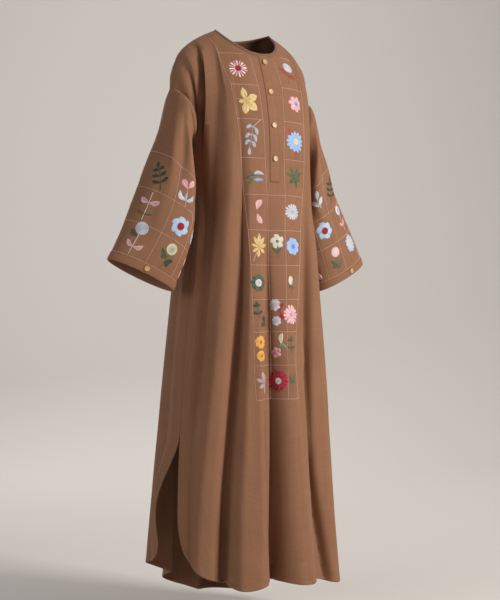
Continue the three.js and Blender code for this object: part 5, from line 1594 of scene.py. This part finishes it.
def red_flower():
    return (rays(17, 12, 28, 3.8, RED, (0.5, 0.02, 0.05), 0)
        + petals(12, 4, 19, 5.2, RED, (0.52, 0.03, 0.06), 9, dome=1.1) + disc(8.5, WHITE, CREAM, lift=0.9))


def faint_sprig():
    return leaves([(-8, 14), (9, 17), (-9, -4), (9, -2)], 3, OLIVE, (0, -6)) + stem([(0, 14), (0, -28)], OLIVE, 1.1)


def tall_sprig():
    return sprig(42, 3, 5.4, FOREST, 23, 0.6)


def tulip_under_leaves():
    return (stem([(2, 10), (0, -38)], BLUSH, 1.2) + leaves([(-12, 31)], 8, PINK, (1, 8))
        + leaves([(19, 28)], 7.2, (0.82, 0.46, 0.42), (4, 9))
            + satin([(-2, -24), (-15, -14), (-17, 1)], 6, ICE, WHITE, slant=0.5)
            + satin([(0, -24), (14, -20), (19, -8)], 5.4, ICE, MIST, slant=0.5)
            + satin([(-1, -22), (0, -4)], 3.4, MIST, slant=0.5))


def paired_leaves_on_stem():
    return (stem([(0, 30), (0, -48)], CREAM, 1.7)
        + satin([(0, 0), (-13, 3), (-27, 12)], 7.4, PINK, BLUSH, slant=0.5, vein=True)
            + satin([(0, 0), (13, 2), (27, 10)], 7.4, PINK, BLUSH, slant=0.5, vein=True)
            + leaves([(-22, -24), (21, -26)], 3.2, OLIVE, (0, -32)))


def six_petals():
    return (petals(6, 3, 23.5, 11.5, ICE, (0.4, 0.56, 0.78), 30, dome=0.85)
        + disc(9.8, RED, (0.34, 0.004, 0.02), lift=0.8))


def round_over_leaves():
    return (stem([(-2, 16), (-2, -39)], CREAM, 1.7)
        + satin([(-3, 10), (-14, 12), (-24, 22)], 6.5, LEAF_GREEN, slant=0.6, vein=True)
            + satin([(-2, -19), (-12, -17), (-23, -7)], 6, PINK, BLUSH, slant=0.5, vein=True)
            + satin([(-2, -19), (10, -18), (22, -6)], 6, PINK, BLUSH, slant=0.5, vein=True)
            + disc(17, LILAC_WHITE, ICE, (-2, 33)))


def cream_round():
    return (stem([(4, 8), (0, -16), (-4, -36)], LEAF_GREEN, 1.4)
        + leaves([(-21, 12), (-14, -4)], 6, LEAF_GREEN, (0, -6)) + leaves([(19, -4), (13, -20)], 6.4, FOREST, (1, -16))
            + disc(14.5, CREAM, SAGE, (4, 20)))


def three_pale_leaves():
    return (stem([(0, 6), (-2, -26)], MIST, 1.2) + leaves([(0, 31)], 6.5, ICE, (0, 6))
        + leaves([(17, 12), (-17, 2)], 6.5, WHITE, (0, -12), tip=ICE) + leaves([(6, -18)], 3.2, MIST, (0, -2)))


def pale_round_over_pink():
    return (stem([(0, 14), (-1, -38)], BLUSH, 1.2) + leaves([(-19, -12), (21, -8)], 5.2, PINK, (0, -22))
        + disc(13, WHITE, BLUE, (0, 24), 1.1))


def pale_daisy():
    return (stem([(6, -20), (9, -42)], BRICK, 2.2) + petals(13, 5, 25, 4.8, ICE, (0.46, 0.56, 0.72), 5)
        + disc(7.5, CREAM, GOLD, lift=0.6))


def pink_round():
    return (leaves([(-17, -12), (-10, -30)], 5, LEAF_GREEN, (4, -26))
        + leaves([(20, -8), (18, -26)], 5, OLIVE, (6, -30)) + stem([(4, 0), (5, -38)], LEAF_GREEN, 1.3)
            + disc(14, BLUSH, WHITE, (-2, 12)))


# ---------------------------------------------------------------- where each one is sewn
FRONT_MOTIFS = [  # chart, place, height, turn in degrees, size
    (red_hearted_daisy, 9.52, -114, 0, 1.0), (round_on_red_stem, 13.5, -122, -8, (1.6, 1.1)),
    (five_lobed_leaf, 9.86, -199, 0, 1.0),
    (lambda: hearted_flower(7, 21, 7.2, PINK, LILAC_WHITE, VIOLET), 13.64, -196, 0, (1.45, 1.0)),
    (hanging_sprig, 10.24, -299, 0, 1.0), (blue_daisy, 13.6, -296, 0, (1.35, 1.0)),
    (two_buds, 10.68, -393, 0, 1.0), (leaf_cluster, 13.55, -388, 0, (1.5, 1.0)),
    (leaf_pair, 11.08, -482, 0, 1.0), (misty_daisy, 13.4, -480, 0, (1.25, 1.0)),
    (fan_leaf, 11.02, -572, 0, 0.98), (cream_flower, 12.58, -566, 0, 1.0), (blue_flower, 13.38, -568, 0, (1.2, 1.0)),
    (leafy_round, 10.95, -662, 0, 1.0), (oval_on_stem, 13.2, -656, 0, 1.0),
    (dark_sprig, 10.82, -730, 10, 1.0), (slanting_sprig, 11.45, -760, 0, 1.0),
    (lambda: rose(13), 12.36, -718, 0, 1.0), (lambda: rose(10.5), 12.42, -758, 0, 1.0),
    (red_leaves, 12.68, -728, 0, 1.0), (pink_daisy, 13.14, -743, 0, 1.0),
    (lambda: gold_daisy(16), 11.08, -811, 0, 1.0), (lambda: gold_daisy(14), 11.12, -845, 0, 1.0),
    (lambda: hearted_flower(5, 13, 6.4, PINK, ROSE, ROSE, 2.0, 30), 12.36, -838, 0, 1.0),
    (bud_on_sage, 12.66, -806, 0, 1.0), (small_green_sprig, 13.08, -818, 0, 1.0),
    (mauve_star, 11.36, -912, 0, (1.6, 1.0)), (red_flower, 12.42, -910, 0, 1.0), (faint_sprig, 13.06, -910, 0, 1.0),
]
RIGHT_MOTIFS = [  # chart, ring, how far along, turn in degrees, size
    (tall_sprig, 34, 0.468, 25, 0.95), (tulip_under_leaves, 92, 0.465, 4, 1.0), (leaf_cluster, 159, 0.455, 0, 0.85),
    (paired_leaves_on_stem, 32, 0.638, 0, 0.98), (six_petals, 98, 0.674, 0, 1.0), (pale_daisy, 159, 0.66, 0, 0.85),
    (round_over_leaves, 41, 0.855, 0, 0.98), (cream_round, 98, 0.86, 0, 1.0), (leaf_pair, 158, 0.86, 0, 0.9),
    (pale_daisy, 207, 0.45, 0, 0.9), (tall_sprig, 261, 0.46, -10, 0.9), (five_lobed_leaf, 315, 0.455, 0, 0.85),
    (cream_flower, 207, 0.665, 0, 1.0), (paired_leaves_on_stem, 261, 0.64, 0, 0.9), (misty_daisy, 315, 0.655, 0, 0.95),
    (six_petals, 207, 0.86, 0, 0.95), (round_over_leaves, 261, 0.86, 0, 0.9), (tulip_under_leaves, 315, 0.86, 0, 0.9),
]
LEFT_MOTIFS = [
    (tall_sprig, 61, 0.452, -16, 0.85), (three_pale_leaves, 111, 0.446, 4, 1.0), (leaf_cluster, 156, 0.455, 0, 0.9),
    (pale_round_over_pink, 57, 0.645, 0, 0.95), (six_petals, 110, 0.645, 0, 1.0), (misty_daisy, 156, 0.66, 0, 0.95),
    (pale_daisy, 56, 0.815, 0, 1.0), (pink_round, 103, 0.83, -20, 1.0), (leaf_pair, 156, 0.86, 0, 0.95),
    (misty_daisy, 204, 0.45, 0, 0.95), (tall_sprig, 250, 0.46, 10, 0.85), (five_lobed_leaf, 299, 0.45, 0, 0.85),
    (small_green_sprig, 0, 0.45, 0, 1.0),
    (cream_flower, 204, 0.665, 0, 0.95), (paired_leaves_on_stem, 250, 0.64, 0, 0.85),
    (six_petals, 299, 0.655, 0, 0.9), (pale_daisy, 0, 0.655, 0, 0.85),
    (cream_round, 204, 0.85, 0, 0.95), (round_over_leaves, 250, 0.86, 0, 0.85),
    (tulip_under_leaves, 299, 0.86, 0, 0.9), (leaf_pair, 0, 0.86, 0, 0.95),
]


def embroidery(cloth, motifs, name):
    """Every motif of one cloth piece as one joined mesh of laid threads."""
    stations, outs, wide, colours, middles = [], [], [], [], []
    for chart, place, level, turn, size in motifs:
        down = level if isinstance(cloth,
            SleeveCloth) else float(down_for(cloth, np.array([place]), np.array([level]))[0])
        c, s = math.cos(math.radians(turn)), math.sin(math.radians(turn))
        for threads in chart():
            stations.append((threads.stations * np.array(size)) @ np.array([[c, s], [-s, c]]))
            outs.append(threads.outs)
            wide.append(threads.wide)
            colours.append(np.broadcast_to(threads.colours, (len(threads.wide), 3)))
            middles.append(np.broadcast_to((place, down), (len(threads.wide), 2)))
    stations, outs, wide, colours, middles = [np.concatenate(a) for a in (stations, outs, wide, colours, middles)]
    heading = unit(np.gradient(stations, axis=1))
    side = np.stack([-heading[..., 1], heading[..., 0]], -1)
    narrow = np.array([0.55, 1, 1, 1, 0.55])
    chart_points, lifts, u = [], [], []
    for across in (-1, 0, 1):
        chart_points.append(stations + side * (across * 0.5 * wide[:, None] * narrow)[..., None])
        lifts.append(outs + (0.34 * narrow if across == 0 else -0.02) - (0.16 if across else 0.0))
        u.append(np.broadcast_to((across * 0.5 * wide)[:, None], outs.shape))
    chart_points, lifts, u = [np.stack(a, 2) for a in (chart_points, lifts, u)]  # thread, along, across
    number = len(stations)
    middle = np.broadcast_to(middles[:, None, None], (number, 5, 3, 2))
    place, down = walk(cloth, middle[..., 0], middle[..., 1], chart_points[..., 0], chart_points[..., 1])
    points = cloth.at(place, down, lifts)[0]
    faces = (grid_faces(5, 3)[None] + np.arange(number)[:, None, None] * 15).reshape(-1, 4)
    run = np.concatenate([np.zeros((number, 1)),
        np.cumsum(np.linalg.norm(np.diff(stations, axis=1), axis=-1), axis=1)], 1)
    uv = np.stack([u, np.broadcast_to(run[..., None], u.shape)], -1).reshape(-1, 2)
    mesh = mesh_from(name, points.reshape(-1, 3), faces)
    uv_named(mesh, uv)
    thread = mesh.color_attributes.new("thread", "FLOAT_COLOR", "POINT")
    shade = np.concatenate([np.repeat(colours, 15, 0), np.ones((number * 15, 1))], 1)
    thread.data.foreach_set("color", shade.astype(np.float32).ravel())
    return finished(name, mesh, [SILK])



# ---------------------------------------------------------------- camera, floor and light
TURN = math.radians(33)
RIGHT = Vector((math.cos(TURN), -math.sin(TURN), 0))
AHEAD = Vector((math.sin(TURN), math.cos(TURN), 0))


def camera():
    lens = bpy.data.cameras.new("camera")
    lens.lens, lens.sensor_width, lens.sensor_fit = 81.66, 36, "AUTO"
    lens.shift_x, lens.shift_y = 6.5 / 600, -10 / 600
    eye = bpy.data.objects.new("camera", lens)
    bpy.context.collection.objects.link(eye)
    eye.location = AHEAD * -3.6 + Vector((0, 0, -0.68))
    eye.rotation_euler = (math.radians(90), 0, -TURN)
    bpy.context.scene.camera = eye


def area_light(name, place, aim, size, power, colour):
    light = bpy.data.lights.new(name, "AREA")
    light.shape, light.size, light.size_y = "RECTANGLE", *size
    light.energy, light.color = power, colour
    lamp = bpy.data.objects.new(name, light)
    bpy.context.collection.objects.link(lamp)
    lamp.location = place
    lamp.rotation_euler = (Vector(aim) - Vector(place)).to_track_quat("-Z", "Y").to_euler()


def backdrop():
    """A pale floor that curves up into a pale wall, all round behind the dress."""
    floor_z, reach, bend = -1.56, 8.0, 5.0
    profile = [(-9.0, 0.0), (reach - bend, 0.0)]
    profile += [(reach - bend + bend * math.sin(a), bend * (1 - math.cos(a)))
        for a in np.linspace(0, math.pi / 2, 24)[1:]]
    profile += [(reach, 9.0)]
    verts, faces = [], []
    for side in (-12.0, 12.0):
        verts += [tuple(AHEAD * ahead + RIGHT * side + Vector((0, 0, floor_z + up))) for ahead, up in profile]
    n = len(profile)
    faces = [(i, i + n, i + n + 1, i + 1) for i in range(n - 1)]
    mesh = bpy.data.meshes.new("backdrop")
    mesh.from_pydata(verts, [], faces)
    for polygon in mesh.polygons:
        polygon.use_smooth = True
    sheet = bpy.data.objects.new("backdrop", mesh)
    bpy.context.collection.objects.link(sheet)
    material = bpy.data.materials.new("pale_backdrop")
    material.use_nodes = True
    shader = material.node_tree.nodes["Principled BSDF"]
    shader.inputs["Base Color"].default_value = (0.62, 0.585, 0.55, 1)
    shader.inputs["Roughness"].default_value = 0.95
    shader.inputs["Specular IOR Level"].default_value = 0.1
    mesh.materials.append(material)


def lighting():
    middle = Vector((0, 0, -0.6))
    area_light("key", middle + RIGHT * 3.1 - AHEAD * 1.7 + Vector((0, 0, 1.3)), middle, (1.1, 2.0), 172,
        (1, 0.965, 0.92))
    area_light("fill", middle - RIGHT * 2.8 - AHEAD * 2.6 + Vector((0, 0, 0.9)), middle, (1.6, 2.2), 48,
        (0.98, 0.98, 1))
    area_light("wall", AHEAD * 3 - RIGHT * 0.6 + Vector((0, 0, 3.6)), AHEAD * 7 + Vector((0, 0, 0.2)), (5, 2), 200,
        (0.99, 0.98, 0.97))
    area_light("back", AHEAD * 3.2 - RIGHT * 1.2 + Vector((0, 0, 1.4)), middle, (2, 2), 45, (1, 0.98, 0.96))
    area_light("top", middle + Vector((0, 0, 3.2)) + RIGHT * 0.5, middle, (2, 2), 10, (1, 0.98, 0.96))
    world = bpy.data.worlds.new("studio")
    world.use_nodes = True
    world.node_tree.nodes["Background"].inputs["Color"].default_value = (0.93, 0.94, 0.96, 1)
    world.node_tree.nodes["Background"].inputs["Strength"].default_value = 0.12
    bpy.context.scene.world = world
    bpy.context.scene.view_settings.view_transform = "Standard"


# ---------------------------------------------------------------- the whole dress
camera()
backdrop()
lighting()
front = panel_piece(front_cloth, "front")
back = panel_piece(back_cloth, "back")
sleeves = [sleeve_piece(right_sleeve, "right"), sleeve_piece(left_sleeve, "left")]
cuffs = [cuff_piece(right_sleeve, "right"), cuff_piece(left_sleeve, "left")]
binding = binding_piece()
placket = placket_piece()
hems = [hem_piece(front_cloth, "front_hem"), hem_piece(back_cloth, "back_hem")]
seam_stitches()
front_grid()
sleeve_grid(right_sleeve, RIGHT_LINES, "sleeve_right_grid")
sleeve_grid(left_sleeve, LEFT_LINES, "sleeve_left_grid")
embroidery(front_cloth, FRONT_MOTIFS, "front_embroidery")
embroidery(right_sleeve, RIGHT_MOTIFS, "sleeve_right_embroidery")
embroidery(left_sleeve, LEFT_MOTIFS, "sleeve_left_embroidery")
button_pieces()
